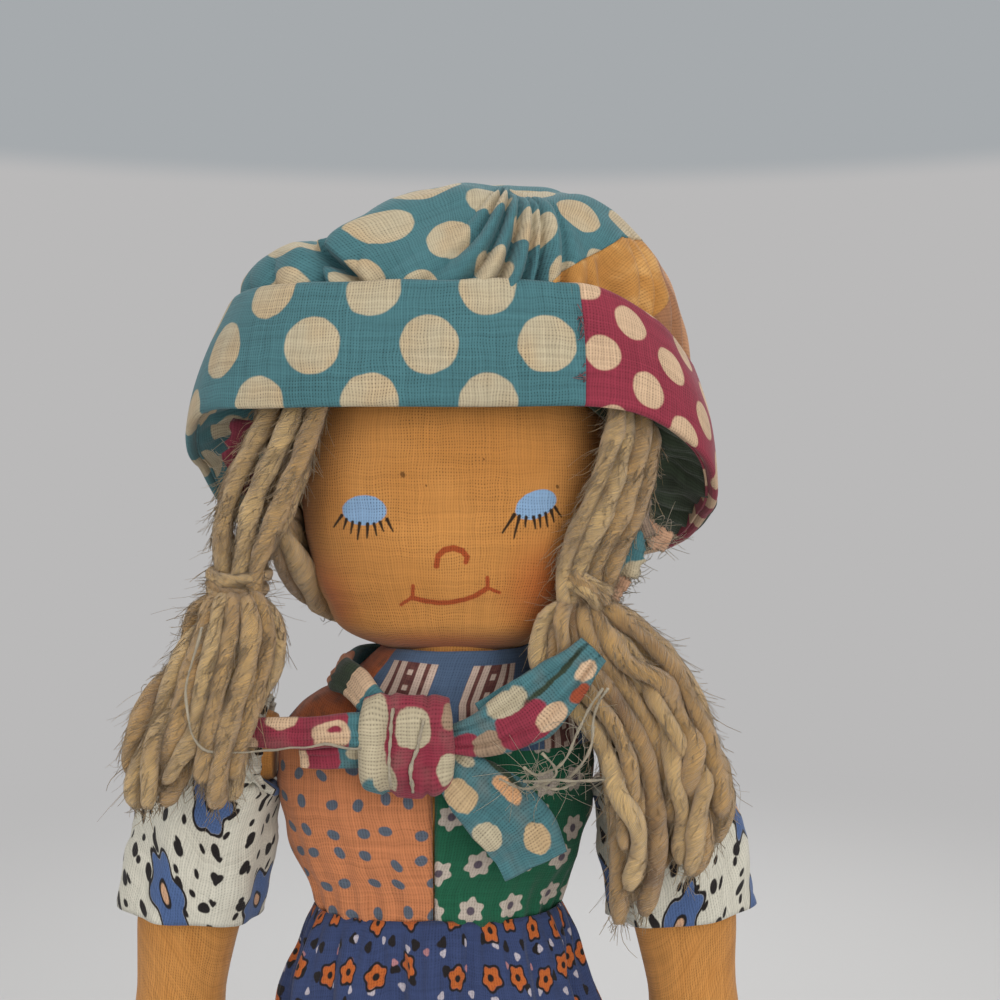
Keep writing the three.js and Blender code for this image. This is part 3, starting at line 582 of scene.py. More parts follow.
def wire_stroke(w, i):
    """A brush stroke between two places."""
    span = w.apart(i["End"], i["Start"])
    off = w.apart(i["Place"], i["Start"])
    length = w.vector("DOT_PRODUCT", span, span, out=1)
    share = w.math("DIVIDE", w.vector("DOT_PRODUCT", off, span, out=1), length, clamp=True)
    away = w.length(w.apart(off, w.scale(span, share)))
    width = w.times(i["Width"], w.times(share, i["Taper"], 0.5))
    return [w.fade(w.minus(away, width), 0.09, -0.09)]


WEAVE = node_group("weave", [("Place", NOWHERE), ("Pitch", THREAD_PITCH), ("Gaps", 0.4),
                             ("Threads", 0.4)], ["Shade", "Height"], wire_weave)
DOTS = node_group("spots", [("Place", NOWHERE), ("Spacing", 13.7), ("Rows", 5.75),
                            ("Radius", 3.35), ("Wobble", 0.5), ("Jitter", 0.0)],
                  ["Mask"], wire_dots)
BLOSSOMS = node_group("blossoms", [("Place", NOWHERE), ("Spacing", 6.0),
                                   ("Radius", 1.8), ("Petals", 6.0), ("Outline", 0.2),
                                   ("Seed", 0.0)],
                      ["Petals", "Outline", "Eye"], wire_blossoms)
STROKE = node_group("stroke", [("Place", NOWHERE), ("Start", NOWHERE),
                               ("End", (1.0, 0.0, 0.0)), ("Width", 0.4), ("Taper", 0.0)],
                    ["Mask"], wire_stroke)


def ink(red, green, blue):
    """Colour given as it looks on a screen, from 0 to 255."""
    return tuple((c / 255 / 12.92 if c < 10.4 else ((c / 255 + 0.055) / 1.055) ** 2.4)
                 for c in (red, green, blue)) + (1.0,)


SKIN = ink(190, 132, 70)
SKIN_DARK = ink(178, 120, 60)
BLUSH = ink(172, 76, 34)
FLECK = ink(92, 56, 24)
LID = ink(128, 158, 190)
LASH = ink(48, 34, 22)
LIP = ink(150, 62, 30)
TEAL = ink(70, 112, 118)
CREAM = ink(178, 166, 140)
CREAM_OLD = ink(184, 158, 122)
MAROON = ink(138, 50, 66)
MAROON_CREAM = ink(198, 168, 138)
MUSTARD = ink(178, 126, 66)
MUSTARD_PALE = ink(206, 160, 100)
TAN = ink(150, 106, 76)
TAN_PALE = ink(198, 150, 114)
DARK_GREEN = ink(50, 60, 46)
ORANGE = ink(186, 118, 78)
ORANGE_SPOT = ink(84, 92, 104)
GREEN = ink(30, 86, 62)
GREEN_FLOWER = ink(176, 164, 152)
BLUE = ink(78, 96, 122)
NAVY = ink(54, 66, 102)
NAVY_FLOWER = ink(176, 92, 44)
INK_BLACK = ink(34, 30, 30)
WHITE = ink(196, 192, 178)
FLOWER_BLUE = ink(74, 96, 138)
FELT = ink(84, 58, 42)
YARN = ink(176, 137, 80)
YARN_PALE = ink(198, 164, 108)
YARN_DARK = ink(122, 88, 50)
THREAD = ink(206, 190, 158)
PEACH = ink(206, 158, 116)
DULL = ink(150, 126, 104)
RUST = ink(150, 72, 48)


def painted(name, looks):
    """A new material, its wiring, and its shader with these values set."""
    material = bpy.data.materials.new(name)
    material.use_nodes = True
    w = Wiring(material.node_tree)
    shader = w.tree.nodes["Principled BSDF"]
    for label, value in looks.items():
        shader.inputs[label].default_value = value
    return material, w, shader


COTTON = {"Roughness": 0.92, "Specular IOR Level": 0.15, "Sheen Weight": 0.12,
          "Sheen Roughness": 0.5}
WOOL = {"Roughness": 1.0, "Specular IOR Level": 0.05, "Sheen Weight": 0.4, "Sheen Roughness": 0.6}


def woven(name, paint, gaps=0.4, threads=0.4, coords="cloth", grime=0.22, bump=0.35):
    """Cotton cloth: what is printed on it, its weave, and an old cloth's uneven tone.

    coords is cloth for a sheet's own UVs, solid for places in mm, and round for places in mm
    with a weave that runs round the head.
    """
    material, w, shader = painted(name, COTTON)
    if coords == "cloth":
        place = w.add("ShaderNodeUVMap", uv_map="cloth")
    else:
        place = w.scale(w.add("ShaderNodeTexCoord", out="Object"), 1 / MM)
    threads_at = place
    if coords == "round":
        x, y, z = w.split(place)
        angle = w.math("ARCTAN2", w.minus(x, HEAD_SIDE), w.times(y, -1.0))
        threads_at = w.join(w.times(angle, HEAD_WIDE * 0.44), z, 0.0)
    colour = paint(w, place)
    weave = w.use(WEAVE, place=threads_at, gaps=gaps, threads=threads)
    old = w.noise(place, 0.09, 3.0)
    # The weave's Shade, with its painted shade between the threads, plus the old cloth's uneven
    # tone.
    tone = w.times(w.minus(old, 0.5), grime, weave["Shade"])
    w.feed(shader.inputs["Base Color"], w.scale(colour, tone))
    normal = w.add("ShaderNodeBump", {"Strength": bump, "Distance": 0.00012,
                                      "Height": weave["Height"]})
    w.feed(shader.inputs["Normal"], normal)
    return material


def plain(colour, fleck, amount):
    """Paint function for a plain cloth, with a little of a second colour in patches."""
    def paint(w, place):
        return w.mix(w.times(w.patches(place, 0.25, 3.0, 0.45, 0.7), amount), colour, fleck)
    return paint


def felted(colour, pale):
    """Paint function for felt: soft patches and short fibres, without a weave."""
    def paint(w, place):
        patches = w.patches(place, 0.25, 3.0, 0.4, 0.7)
        fibres = w.patches(place, 2.4, 4.0, 0.35, 0.75)
        return w.mix(w.times(fibres, 0.5, w.times(patches, 0.4)), colour, pale)
    return paint


def spotted(ground, spot, spacing=13.7, rows=5.75, radius=3.35, jitter=0.0, wobble=0.5,
            start=NOWHERE, stains=0.25, stain=None, turned=0.0, seam=None):
    """Paint function for cloth with round spots in staggered rows, and none past a seam."""
    def paint(w, place):
        at = w.apart(place, start)
        if turned:
            at = w.add("ShaderNodeVectorRotate", {"Vector": at, "Angle": -turned},
                       rotation_type="Z_AXIS")
        mask = w.use(DOTS, place=at, spacing=spacing, rows=rows, radius=radius, jitter=jitter,
                     wobble=wobble)[0]
        if seam is not None:
            mask = w.times(mask, w.fade(w.split(place)[0], seam, seam - 0.2))
        pale = w.mix(w.times(w.patches(place, 0.13, 2.0, 0.35, 0.7), stains), spot, stain or spot)
        return w.mix(mask, ground, pale)
    return paint


def flowered(ground, petal, eye, outline=None, spacing=6.0, radius=1.8, petals=6.0, seed=0.0,
             specks=None):
    """Paint function for calico: small flowers, with spots of another colour between them."""
    def paint(w, place):
        colour = w.mix(0.0, ground, ground)
        if specks:
            for shade, gap, size, shift in specks:
                at = w.moved(place, shift)
                mask = w.use(BLOSSOMS, place=at, spacing=gap, radius=size, petals=3.0,
                             outline=0.0, seed=seed + gap)[0]
                colour = w.mix(mask, colour, shade)
        found = w.use(BLOSSOMS, place=place, spacing=spacing, radius=radius, petals=petals,
                      outline=0.35 if outline else 0.0, seed=seed)
        colour = w.mix(found[1], colour, outline) if outline else colour
        colour = w.mix(found[0], colour, petal)
        return w.mix(found[2], colour, eye)
    return paint


# Face, as painted on the head's front. Places are x and z, and the last number is a width.
LASHES = (
    (-11.0, 39.35, -12.1, 37.9, 0.44), (-10.4, 38.85, -10.8, 37.7, 0.42),
    (-9.6, 38.55, -9.85, 37.2, 0.44), (-8.7, 38.4, -9.0, 36.5, 0.46),
    (-7.7, 38.3, -7.8, 36.7, 0.48), (-6.9, 38.35, -6.6, 37.0, 0.42),
    (-6.15, 38.55, -5.75, 37.5, 0.42), (-5.3, 38.9, -4.6, 37.5, 0.46),
    (9.8, 39.45, 8.4, 37.3, 0.5), (10.4, 39.3, 9.75, 36.7, 0.44),
    (11.2, 39.15, 11.1, 38.0, 0.44), (12.1, 39.15, 12.35, 37.8, 0.44),
    (12.85, 39.35, 12.95, 37.95, 0.44), (13.55, 39.6, 13.8, 38.0, 0.44),
    (14.25, 39.95, 14.6, 38.6, 0.48), (14.7, 40.3, 15.5, 39.2, 0.42),
)
MOUTH = (
    (-2.49, 29.5, -0.7, 29.08, 0.62), (-0.7, 29.08, 0.6, 28.9, 0.6), (0.6, 28.9, 1.95, 28.9, 0.6),
    (1.95, 28.9, 3.8, 29.27, 0.6), (3.8, 29.27, 5.2, 29.8, 0.6), (5.2, 29.8, 6.65, 30.7, 0.62),
    (-2.38, 29.65, -2.26, 30.95, 0.46), (-2.49, 29.5, -3.8, 28.6, 0.44),
    (6.65, 30.7, 6.6, 32.0, 0.46), (6.65, 30.7, 8.0, 30.15, 0.42),
)
NOSE = (
    (0.56, 33.4, 0.78, 34.6, 0.7), (0.78, 34.6, 1.55, 35.3, 0.7), (1.55, 35.3, 2.6, 35.5, 0.74),
    (2.6, 35.5, 3.6, 35.2, 0.74), (3.6, 35.2, 4.2, 34.5, 0.66), (4.2, 34.5, 4.05, 33.85, 0.62),
)
LIDS = ((-8.14, 39.95, 2.75, 1.8, 0.0), (12.4, 40.65, 2.6, 1.6, 0.42))
SPECKS = ((-3.4, 44.2, 0.3), (15.0, 42.8, 0.2), (-0.6, 42.9, 0.12), (6.2, 46.0, 0.12))
# Red tint on the face: a patch on each cheek, and a wide thin band along the chin's lower edge.
CHEEKS_AND_CHIN = ((-14.5, 28.0, 6.0, 8.0), (14.5, 29.6, 7.5, 9.0), (0.5, 23.0, 16.0, 2.6))


def paint_face(w, place):
    """Muslin tinted for skin, with the doll's painted face."""
    x, y, z = w.split(place)
    flat = w.join(x, z, 0.0)
    shaky = w.shake(flat, 1.6, 2.0)
    flat = w.moved(flat, w.scale(shaky, 0.16))
    front = w.fade(y, -3.0, -7.0)

    def blob(middle_x, middle_z, half_wide, half_tall, lean=0.0):
        """Distance from an oval's middle, 1 on its edge."""
        dx, dz = w.minus(x, middle_x), w.minus(z, middle_z)
        c, s = math.cos(lean), math.sin(lean)
        along = w.times(dx, c / half_wide, w.times(dz, s / half_wide))
        up = w.times(dz, c / half_tall, w.times(dx, -s / half_tall))
        return w.length(w.join(along, up, 0.0))

    def strokes(rows, taper=0.0):
        """Mask of brush strokes on the face's front."""
        mask = None
        for x0, z0, x1, z1, width in rows:
            one = w.use(STROKE, place=flat, start=(x0, z0, 0.0), end=(x1, z1, 0.0),
                        width=width, taper=taper)[0]
            mask = one if mask is None else w.math("MAXIMUM", mask, one)
        return w.times(mask, front)

    colour = w.mix(w.patches(place, 0.07, 2.0, 0.3, 0.7), SKIN, SKIN_DARK)
    for middle_x, middle_z, half_wide, half_tall in CHEEKS_AND_CHIN:
        away = blob(middle_x, middle_z, half_wide, half_tall)
        soft = w.times(w.fade(away, 1.1, 0.1), w.times(front, 0.62))
        colour = w.mix(soft, colour, BLUSH)
    for middle_x, middle_z, size in SPECKS:
        speck = w.fade(blob(middle_x, middle_z, size, size * 1.3, 0.5), 1.2, 0.7)
        colour = w.mix(w.times(speck, w.times(front, 0.8)), colour, FLECK)
    for middle_x, middle_z, half_wide, half_tall, lean in LIDS:
        away = blob(middle_x, middle_z, half_wide, half_tall, lean)
        rough = w.times(w.noise(flat, 1.4, 2.0), 0.1, away)
        colour = w.mix(w.times(w.fade(rough, 1.1, 1.0), front), colour, LID)
    colour = w.mix(strokes(LASHES, -0.28), colour, LASH)
    red = w.math("MAXIMUM", strokes(MOUTH), strokes(NOSE))
    return w.mix(w.times(red, 0.92), colour, LIP)


STRIPE_BLOCK = 10.8
STRIPE_SHIFT = 4.5
STRIPE_TOP = -1.9
STRIPE_END = 21.0
STRIPE_BROWN = ink(88, 52, 50)
STRIPE_WHITE = ink(186, 164, 150)


def paint_yoke(w, place):
    """Blue cloth with upright blocks of stripes, and an orange patch at the doll's right."""
    x, y, _ = w.split(place)
    off = w.math("PINGPONG", w.plus(x, STRIPE_SHIFT), STRIPE_BLOCK / 2)
    brown = w.mix(w.patches(place, 1.2, 2.0, 0.3, 0.7), STRIPE_BROWN, ink(104, 66, 60))
    dots = w.times(w.fade(off, 0.42, 0.3), w.fade(w.math("PINGPONG", y, 1.1), 0.65, 0.8))
    colour = w.mix(dots, brown, STRIPE_WHITE)
    for middle in (1.3, 2.75):
        line = w.fade(w.math("ABSOLUTE", w.minus(off, middle)), 0.52, 0.38)
        colour = w.mix(line, colour, STRIPE_WHITE)
    blue = w.mix(w.noise(place, 0.3, 3.0), BLUE, ink(66, 84, 108))
    colour = w.mix(w.fade(off, 3.15, 3.3), colour, blue)
    colour = w.mix(w.fade(y, STRIPE_TOP, STRIPE_TOP + 0.15), colour, blue)
    rust = w.mix(w.patches(place, 0.5, 3.0, 0.45, 0.7), ink(156, 84, 48), ink(120, 70, 46))
    edge = w.plus(x, w.times(y, -0.12))
    colour = w.mix(w.fade(edge, -8.5, -8.7), colour, rust)
    return w.mix(w.fade(w.math("ABSOLUTE", edge), STRIPE_END, STRIPE_END + 0.2), colour, blue)


SLEEVE_SHIFT = (-7.5, 11.8, 0.0)
BIG_FLOWERS = dict(spacing=13.5, petals=6.0, seed=1.0)


def paint_sleeve(w, place):
    """White cloth with black spots of mixed size and a few big blue flowers."""
    colour = w.mix(0.0, WHITE, WHITE)
    for gap, size, shift in ((3.1, 0.5, NOWHERE), (4.3, 0.85, (1.7, 2.2, 0.0))):
        mask = w.use(BLOSSOMS, place=w.moved(place, shift), spacing=gap, radius=size,
                     petals=2.0, outline=0.0, seed=gap)[0]
        colour = w.mix(mask, colour, INK_BLACK)
    flowers_at = w.moved(place, SLEEVE_SHIFT)
    big = w.use(BLOSSOMS, place=flowers_at, radius=3.7, outline=0.45, **BIG_FLOWERS)
    colour = w.mix(big[1], colour, INK_BLACK)
    colour = w.mix(big[0], colour, FLOWER_BLUE)
    colour = w.mix(big[2], colour, INK_BLACK)
    heart = w.use(BLOSSOMS, place=flowers_at, radius=2.4, outline=0.0, **BIG_FLOWERS)[2]
    return w.mix(heart, colour, ink(190, 150, 120))


def paint_tan(w, place):
    """Tan cloth: brown where its v is low, pale peach further up, with a wavy boundary between."""
    tone_shift = w.times(w.noise(place, 0.2, 3.0), 5.0, w.split(place)[1])
    return w.mix(w.fade(tone_shift, -9.0, -2.0), TAN, TAN_PALE)


muslin_face = woven("painted_face", paint_face, gaps=0.6, threads=0.26, coords="round", grime=0.1)
muslin = woven("muslin", plain(SKIN, SKIN_DARK, 0.6), gaps=0.42, threads=0.38)
TEAL_SPOTS = dict(rows=6.7, radius=3.4, start=(-2.55, 7.2, 0.0), wobble=0.6, stain=CREAM_OLD,
                  stains=0.7)
teal_cloth = woven("teal_spots", spotted(TEAL, CREAM, **TEAL_SPOTS), gaps=0.42, threads=0.3)
teal_brim = woven("teal_brim", spotted(TEAL, CREAM, seam=14.6, **TEAL_SPOTS), gaps=0.5)
maroon_brim = woven("maroon_brim", spotted(MAROON, MAROON_CREAM, spacing=10.0, rows=4.16,
                                           radius=2.15, jitter=0.5, start=(3.6, -0.2, 0.0),
                                           turned=0.17), gaps=0.4, threads=0.36)
maroon_cloth = woven("maroon_spots", spotted(MAROON, MAROON_CREAM, spacing=9.4, rows=4.6,
                                             radius=2.15, jitter=0.7, start=(1.0, 1.5, 0.0)),
                     gaps=0.4, threads=0.36)
mustard_cloth = woven("mustard", plain(MUSTARD, MUSTARD_PALE, 0.7), gaps=0.3, threads=0.3)
tan_cloth = woven("tan", paint_tan, gaps=0.3, threads=0.3)
lining_cloth = woven("dark_green", plain(DARK_GREEN, ink(66, 78, 62), 0.7), gaps=0.3)
orange_cloth = woven("orange_print", flowered(ORANGE, ORANGE_SPOT, ORANGE_SPOT, spacing=3.6,
                                              radius=0.85, petals=2.0), gaps=0.3)
green_cloth = woven("green_print", flowered(GREEN, GREEN_FLOWER, ink(84, 74, 84), spacing=5.4,
                                            radius=1.75, seed=2.0), gaps=0.25, threads=0.3)
NAVY_SPECKS = (
    (INK_BLACK, 4.1, 0.8, (1.0, 2.0, 0.0)), (ink(176, 168, 176), 5.3, 0.55, (2.0, 0.4, 0.0)),
    (ink(168, 118, 122), 7.1, 0.5, (4.0, 3.1, 0.0)),
)
navy_cloth = woven("navy_print", flowered(NAVY, NAVY_FLOWER, INK_BLACK, INK_BLACK, spacing=6.4,
                                          radius=1.5, petals=5.0, seed=5.0, specks=NAVY_SPECKS),
                   gaps=0.25, threads=0.3)
yoke_cloth = woven("blue_stripe", paint_yoke, gaps=0.3, threads=0.3)
sleeve_cloth = woven("white_print", paint_sleeve, gaps=0.3, threads=0.3)


def strips(rows):
    """Paint function for cloths side by side: each row is where one ends and its colour."""
    def paint(w, place):
        at = w.split(place)[0]
        colour = w.mix(0.0, rows[0][1], rows[0][1])
        for (end, _), (_, shade) in zip(rows, rows[1:]):
            colour = w.mix(w.fade(at, end - 0.08, end + 0.08), colour, shade)
        return colour
    return paint


def patched(ground, patches):
    """Paint function for patches on a ground: middle, half sizes, colour, how square each is."""
    def paint(w, place):
        x, y, _ = w.split(w.moved(place, w.shake(place, 0.5, 2.0)))
        tone_shift = w.patches(place, 0.3, 2.0, 0.4, 0.8)
        colour = w.mix(w.times(tone_shift, 0.35), ground, ink(120, 104, 92))
        for middle_x, middle_y, half_x, half_y, shade, square in patches:
            sides = []
            for v, middle, half in ((x, middle_x, half_x), (y, middle_y, half_y)):
                off = w.math("ABSOLUTE", w.math("DIVIDE", w.minus(v, middle), half))
                sides.append(w.math("POWER", off, float(square)))
            away = w.math("POWER", w.plus(*sides), 1.0 / square)
            soft = 0.12 / min(half_x, half_y)
            colour = w.mix(w.fade(away, 1.0 + soft, 1.0 - soft), colour, shade)
        return colour
    return paint


knot_cloth = woven("knot_patches", patched(MAROON, (
    (5.6, -4.1, 6.0, 1.9, CREAM, 5), (0.6, -3.8, 2.6, 1.6, TEAL, 3),
    (2.9, -2.3, 1.5, 1.3, CREAM, 2), (8.2, 0.9, 1.9, 2.2, CREAM, 2),
    (4.0, 5.0, 1.5, 1.1, CREAM, 2), (9.5, 5.3, 1.4, 0.9, DULL, 2))),
    gaps=0.4, threads=0.36)
loop_cloth = woven("loop_patches", patched(MAROON, (
    (0.4, 0, 1.7, 4, TEAL, 6), (4, -0.3, 2.1, 1.5, MAROON_CREAM, 3),
    (9.8, 1.7, 1.9, 1.5, MAROON_CREAM, 2), (13.6, -1.4, 1.0, 0.7, MAROON_CREAM, 2),
    (3.6, 0.1, 0.7, 0.4, MAROON, 2))))
loop_low_cloth = woven("loop_low_patches", patched(TEAL, (
    (5.6, 0, 2.3, 4, MAROON, 6), (1.2, 0.6, 1.3, 0.8, CREAM, 2), (8, 0, 1, 2, MAROON_CREAM, 2))))
band_cloth = woven("band_patches", patched(TEAL, (
    (2.0, 0.9, 1.7, 1.3, MAROON, 4), (4.6, 1.5, 1.9, 1.6, DULL, 2),
    (9.2, 1.2, 3.4, 2.4, MAROON, 3), (8.8, -2.1, 2.9, 1.4, CREAM, 3),
    (12.3, 2.2, 1.9, 1.3, MAROON_CREAM, 2),
    (16.3, 2.6, 1.5, 1.0, RUST, 2), (18.6, 1.1, 1.4, 0.9, MAROON_CREAM, 3),
    (15.6, -0.9, 5, 0.3, DARK_GREEN, 4))))
# The thin dark green strip along the tail's top edge is a painted shadow.
tail_cloth = woven("tail_patches", patched(TEAL, (
    (1.2, -1.9, 1.5, 0.8, CREAM, 2), (3.5, 1.7, 2.1, 1.8, CREAM_OLD, 2),
    (7.3, -2.5, 2.0, 1.0, PEACH, 2), (9.4, 3.3, 2.1, 1.7, CREAM, 2),
    (13.4, -1.4, 1.8, 1.6, CREAM_OLD, 2), (4.2, -3.6, 4.2, 0.35, DARK_GREEN, 4))))
strap_cloth = woven("strap_patches", strips((
    (3.4, TEAL), (6.6, MAROON_CREAM), (11, DARK_GREEN), (18, ORANGE), (26, TEAL), (34, MAROON),
    (44, MUSTARD), (54, TEAL), (64, DARK_GREEN), (80, TEAL))))
felt = woven("felt", felted(FELT, ink(104, 78, 60)), gaps=0.0, threads=0.0, coords="solid",
             bump=0.04)


def wool(name, colour, pale, dark):
    """Softly twisted wool yarn: plies, fibres, and strands that differ in tone."""
    material, w, shader = painted(name, WOOL)
    place = w.add("ShaderNodeUVMap", uv_map="cloth")
    tone = w.add("ShaderNodeAttribute", attribute_name="tone", out="Fac")
    round_it, along, _ = w.split(place)
    turned = w.minus(w.times(round_it, 1 / YARN_ROUND), w.times(along, YARN_TWIST))
    groove = w.times(w.math("COSINE", w.times(turned, PLIES * FULL)), -0.5, 0.5)
    groove = w.math("POWER", groove, 2.5)
    fibre = w.noise(w.join(w.times(turned, 34.0), w.times(along, 0.16), 0.0), 2.2, 4.0)
    soft = w.noise(w.join(w.times(round_it, 0.5), w.times(along, 0.6), 0.0), 0.3, 3.0)
    base = w.mix(w.fade(tone, 0.0, 0.8), pale, colour)
    shaded = w.times(w.fade(soft, 0.4, 0.75), 0.6, w.times(w.fade(tone, 0.7, 1.0), 0.35))
    base = w.mix(shaded, base, dark)
    # Painted shade darkens the grooves between the plies; the fibre streaks vary the tone.
    light = w.times(groove, -0.12, w.times(w.minus(fibre, 0.5), 1.5, 1.06))
    w.feed(shader.inputs["Base Color"], w.scale(base, light))
    w.feed(shader.inputs["Normal"], w.add("ShaderNodeBump", {
        "Strength": 1.0, "Distance": 0.0005, "Height": fibre}))
    return material


yarn_wool = wool("yarn_wool", YARN, YARN_PALE, YARN_DARK)
thread_cotton = wool("thread_cotton", THREAD, THREAD, ink(160, 140, 108))
maroon_thread = wool("maroon_thread", MAROON, MAROON, ink(104, 36, 50))


# Camera, light and the pale room

def aimed(name, kind, place, target):
    """Adds a camera or a lamp at a place in mm, turned to a target."""
    thing = bpy.data.objects.new(name, kind)
    thing.location = Vector(place) * MM
    thing.rotation_euler = (Vector(target) - Vector(place)).to_track_quat("-Z", "Y").to_euler()
    bpy.context.scene.collection.objects.link(thing)
    return thing


def soft_lamp(name, place, target, size, watts, colour=(1.0, 1.0, 1.0)):
    """Adds a square lamp of this size in metres."""
    lamp = aimed(name, bpy.data.lights.new(name, "AREA"), place, target).data
    lamp.size = size
    lamp.energy = watts
    lamp.color = colour


camera = aimed("camera", bpy.data.cameras.new("camera"), (8.1, -176, 41.2), (8.1, 0, 41.2))
camera.data.lens = 48.96
camera.data.clip_start = 0.005
bpy.context.scene.camera = camera
soft_lamp("key", (220, -450, 125), (0, 0, 10), 0.45, 1.8, (1.0, 0.99, 0.97))
soft_lamp("fill", (-420, -340, 60), (0, 0, 10), 0.5, 0.95, (0.98, 0.99, 1.0))
soft_lamp("top", (-60, -60, 560), (0, 0, 30), 0.5, 0.9)
soft_lamp("rim", (60, 420, 300), (0, 0, 10), 0.4, 1.3)
bpy.context.scene.view_settings.view_transform = "Standard"

WALL = ink(166, 170, 173)
TABLE = ink(186, 185, 185)
HORIZON = 0.22
FLOOR_NEAR, FLOOR_FAR = 0.16, 0.55


def seen_by_eye(w):
    """1 for rays that the camera sees directly, in a reflection or through glass."""
    rays = w.add("ShaderNodeLightPath").node.outputs
    either = w.math("MAXIMUM", rays["Is Camera Ray"], rays["Is Glossy Ray"])
    return w.math("MAXIMUM", either, rays["Is Transmission Ray"])


world = bpy.data.worlds.new("studio")
bpy.context.scene.world = world
world.use_nodes = True
wires = Wiring(world.node_tree)
sky = world.node_tree.nodes["Background"]
height = wires.split(wires.add("ShaderNodeTexCoord", out="Generated"))[2]
room = wires.mix(wires.fade(height, HORIZON, HORIZON + 0.02), TABLE, WALL)
wires.feed(sky.inputs["Color"], wires.mix(seen_by_eye(wires), (0.52, 0.52, 0.52, 1.0), room))


def make_floor():
    """Pale table that fades, with distance, into the background."""
    bpy.ops.object.select_all(action="DESELECT")
    bpy.ops.mesh.primitive_circle_add(vertices=96, radius=1.2, fill_type="NGON",
                                      location=(0, 0, SOLE * MM - 0.0002))
    floor = bpy.context.object
    floor.name = "floor"
    bpy.ops.object.transform_apply(location=True)
    material, w, shader = painted("floor_paint", {"Roughness": 0.9})
    place = w.add("ShaderNodeTexCoord", out="Object")
    x, y, _ = w.split(place)
    shade = w.times(w.noise(place, 6.0, 3.0), 0.3)
    w.feed(shader.inputs["Base Color"], w.mix(shade, ink(190, 189, 188), ink(184, 184, 184)))
    glow = w.add("ShaderNodeEmission", [TABLE, 1.0])
    far = w.fade(w.length(w.join(x, y, 0.0)), FLOOR_NEAR, FLOOR_FAR)
    both = w.add("ShaderNodeMixShader", [w.times(far, seen_by_eye(w)), shader.outputs[0], glow])
    w.feed(w.tree.nodes["Material Output"].inputs["Surface"], both)
    floor.data.materials.append(material)


make_floor()


# Head and its painted face

def stuffed(name, surface, rows, columns, lump=0.0, lump_size=9.0, seed=0.0):
    """Closed stuffed form from a surface of turn and share, with UVs in mm."""
    share = (1 - np.cos(np.linspace(0, math.pi, rows))) / 2
    turn = np.arange(columns + 1) / columns - 0.5
    turns, shares = np.meshgrid(turn, share)
    points = surface(turns, shares)
    out = normals_of(surface, turns, np.clip(shares, 0.004, 0.996))
    if lump:
        points = points + out * ripple(closed(points), lump_size, lump, seed)[..., None]
    uv = np.stack([turns * run_of(points, 1)[:, -1].max(), run_of(points, 0)], -1)
    return cloth_grid(name, points[:, :-1], uv, wraps=True, closed_ends=True)


head_surface = upright(HEAD_ROWS, HEAD_BASE, HEAD_HEIGHT, HEAD_WIDE, HEAD_DEEP, HEAD_SQUARE,
                       HEAD_SIDE)
head = stuffed("head_cloth", head_surface, 96, 120, lump=0.35, lump_size=11, seed=3.3)
dress(head, "head", muslin_face, ["head"])


# Cap. Every ring of it follows the brim edge, as in the CAD source.

def round_share(turn):
    """Share of the brim's drop at a turn."""
    places = len(BRIM_DROP_SHARES)
    rows = [(k / places, BRIM_DROP_SHARES[k % places]) for k in range(-2, places + 3)]
    return through(rows, np.mod(turn, 1.0))[..., 0]


def edge_height(turn):
    """Height of the brim's lower edge at a turn."""
    return BRIM_EDGE - BRIM_DROP * round_share(turn)


def cap_ring(turn, inset, rise):
    """Points on the cap's ring, this far in from the brim and above its lower edge."""
    x, y = ring(turn, BRIM_WIDE / 2 - inset, BRIM_DEEP / 2 - inset, BRIM_SQUARE)
    return stacked(HEAD_SIDE + x, BRIM_BACK + y, edge_height(turn) + rise)


RING_TURNS = np.linspace(-1, 2, 3001)
RING_RUN = run_along(cap_ring(RING_TURNS, 0, 0)[:, :2])
RING_RUN -= np.interp(0.0, RING_TURNS, RING_RUN)


def evenly(start, end, count):
    """Turns that lie evenly along the cap's ring, and how far along it each lies in mm."""
    run = np.interp([start, end], RING_TURNS, RING_RUN)
    places = np.linspace(run[0], run[1], count)
    return np.interp(places, RING_RUN, RING_TURNS), places


# Where the worn cap is pressed in: how far in mm, and the middle and half width as turns
SIDE_LEANS = ((3.4, -0.2, 0.16), (1.9, 0.19, 0.14))


def side_lean(turn):
    """How much further the worn cap has been pressed in at each side, at the brim's top."""
    place = np.mod(np.asarray(turn) + 0.5, 1) - 0.5
    return sum(far * bump_at(place, middle, wide) for far, middle, wide in SIDE_LEANS)


CAP_MIDDLE = (HEAD_SIDE, BRIM_BACK)
CROWN_POLE = np.array([HEAD_SIDE + CROWN_SIDE, CROWN_BACK, CROWN_TOP])
CROWN_INSET = 3.6


def ring_turn(direction, middle, inset=0.0):
    """Turn on the cap's ring that lies in a straight direction, also a turn, from a point."""
    base = cap_ring(RING_TURNS, inset, 0)
    seen_at = np.unwrap(np.arctan2(base[:, 0] - middle[0], middle[1] - base[:, 1])) / FULL
    seen_at -= np.round(np.interp(0, RING_TURNS, seen_at))
    return np.interp(direction, seen_at, RING_TURNS)


BRIM_HALF = 0.75
BRIM_FOOT = 0.6
SIDE_TUCK, TUCK_REACH = 0.42, 1.6


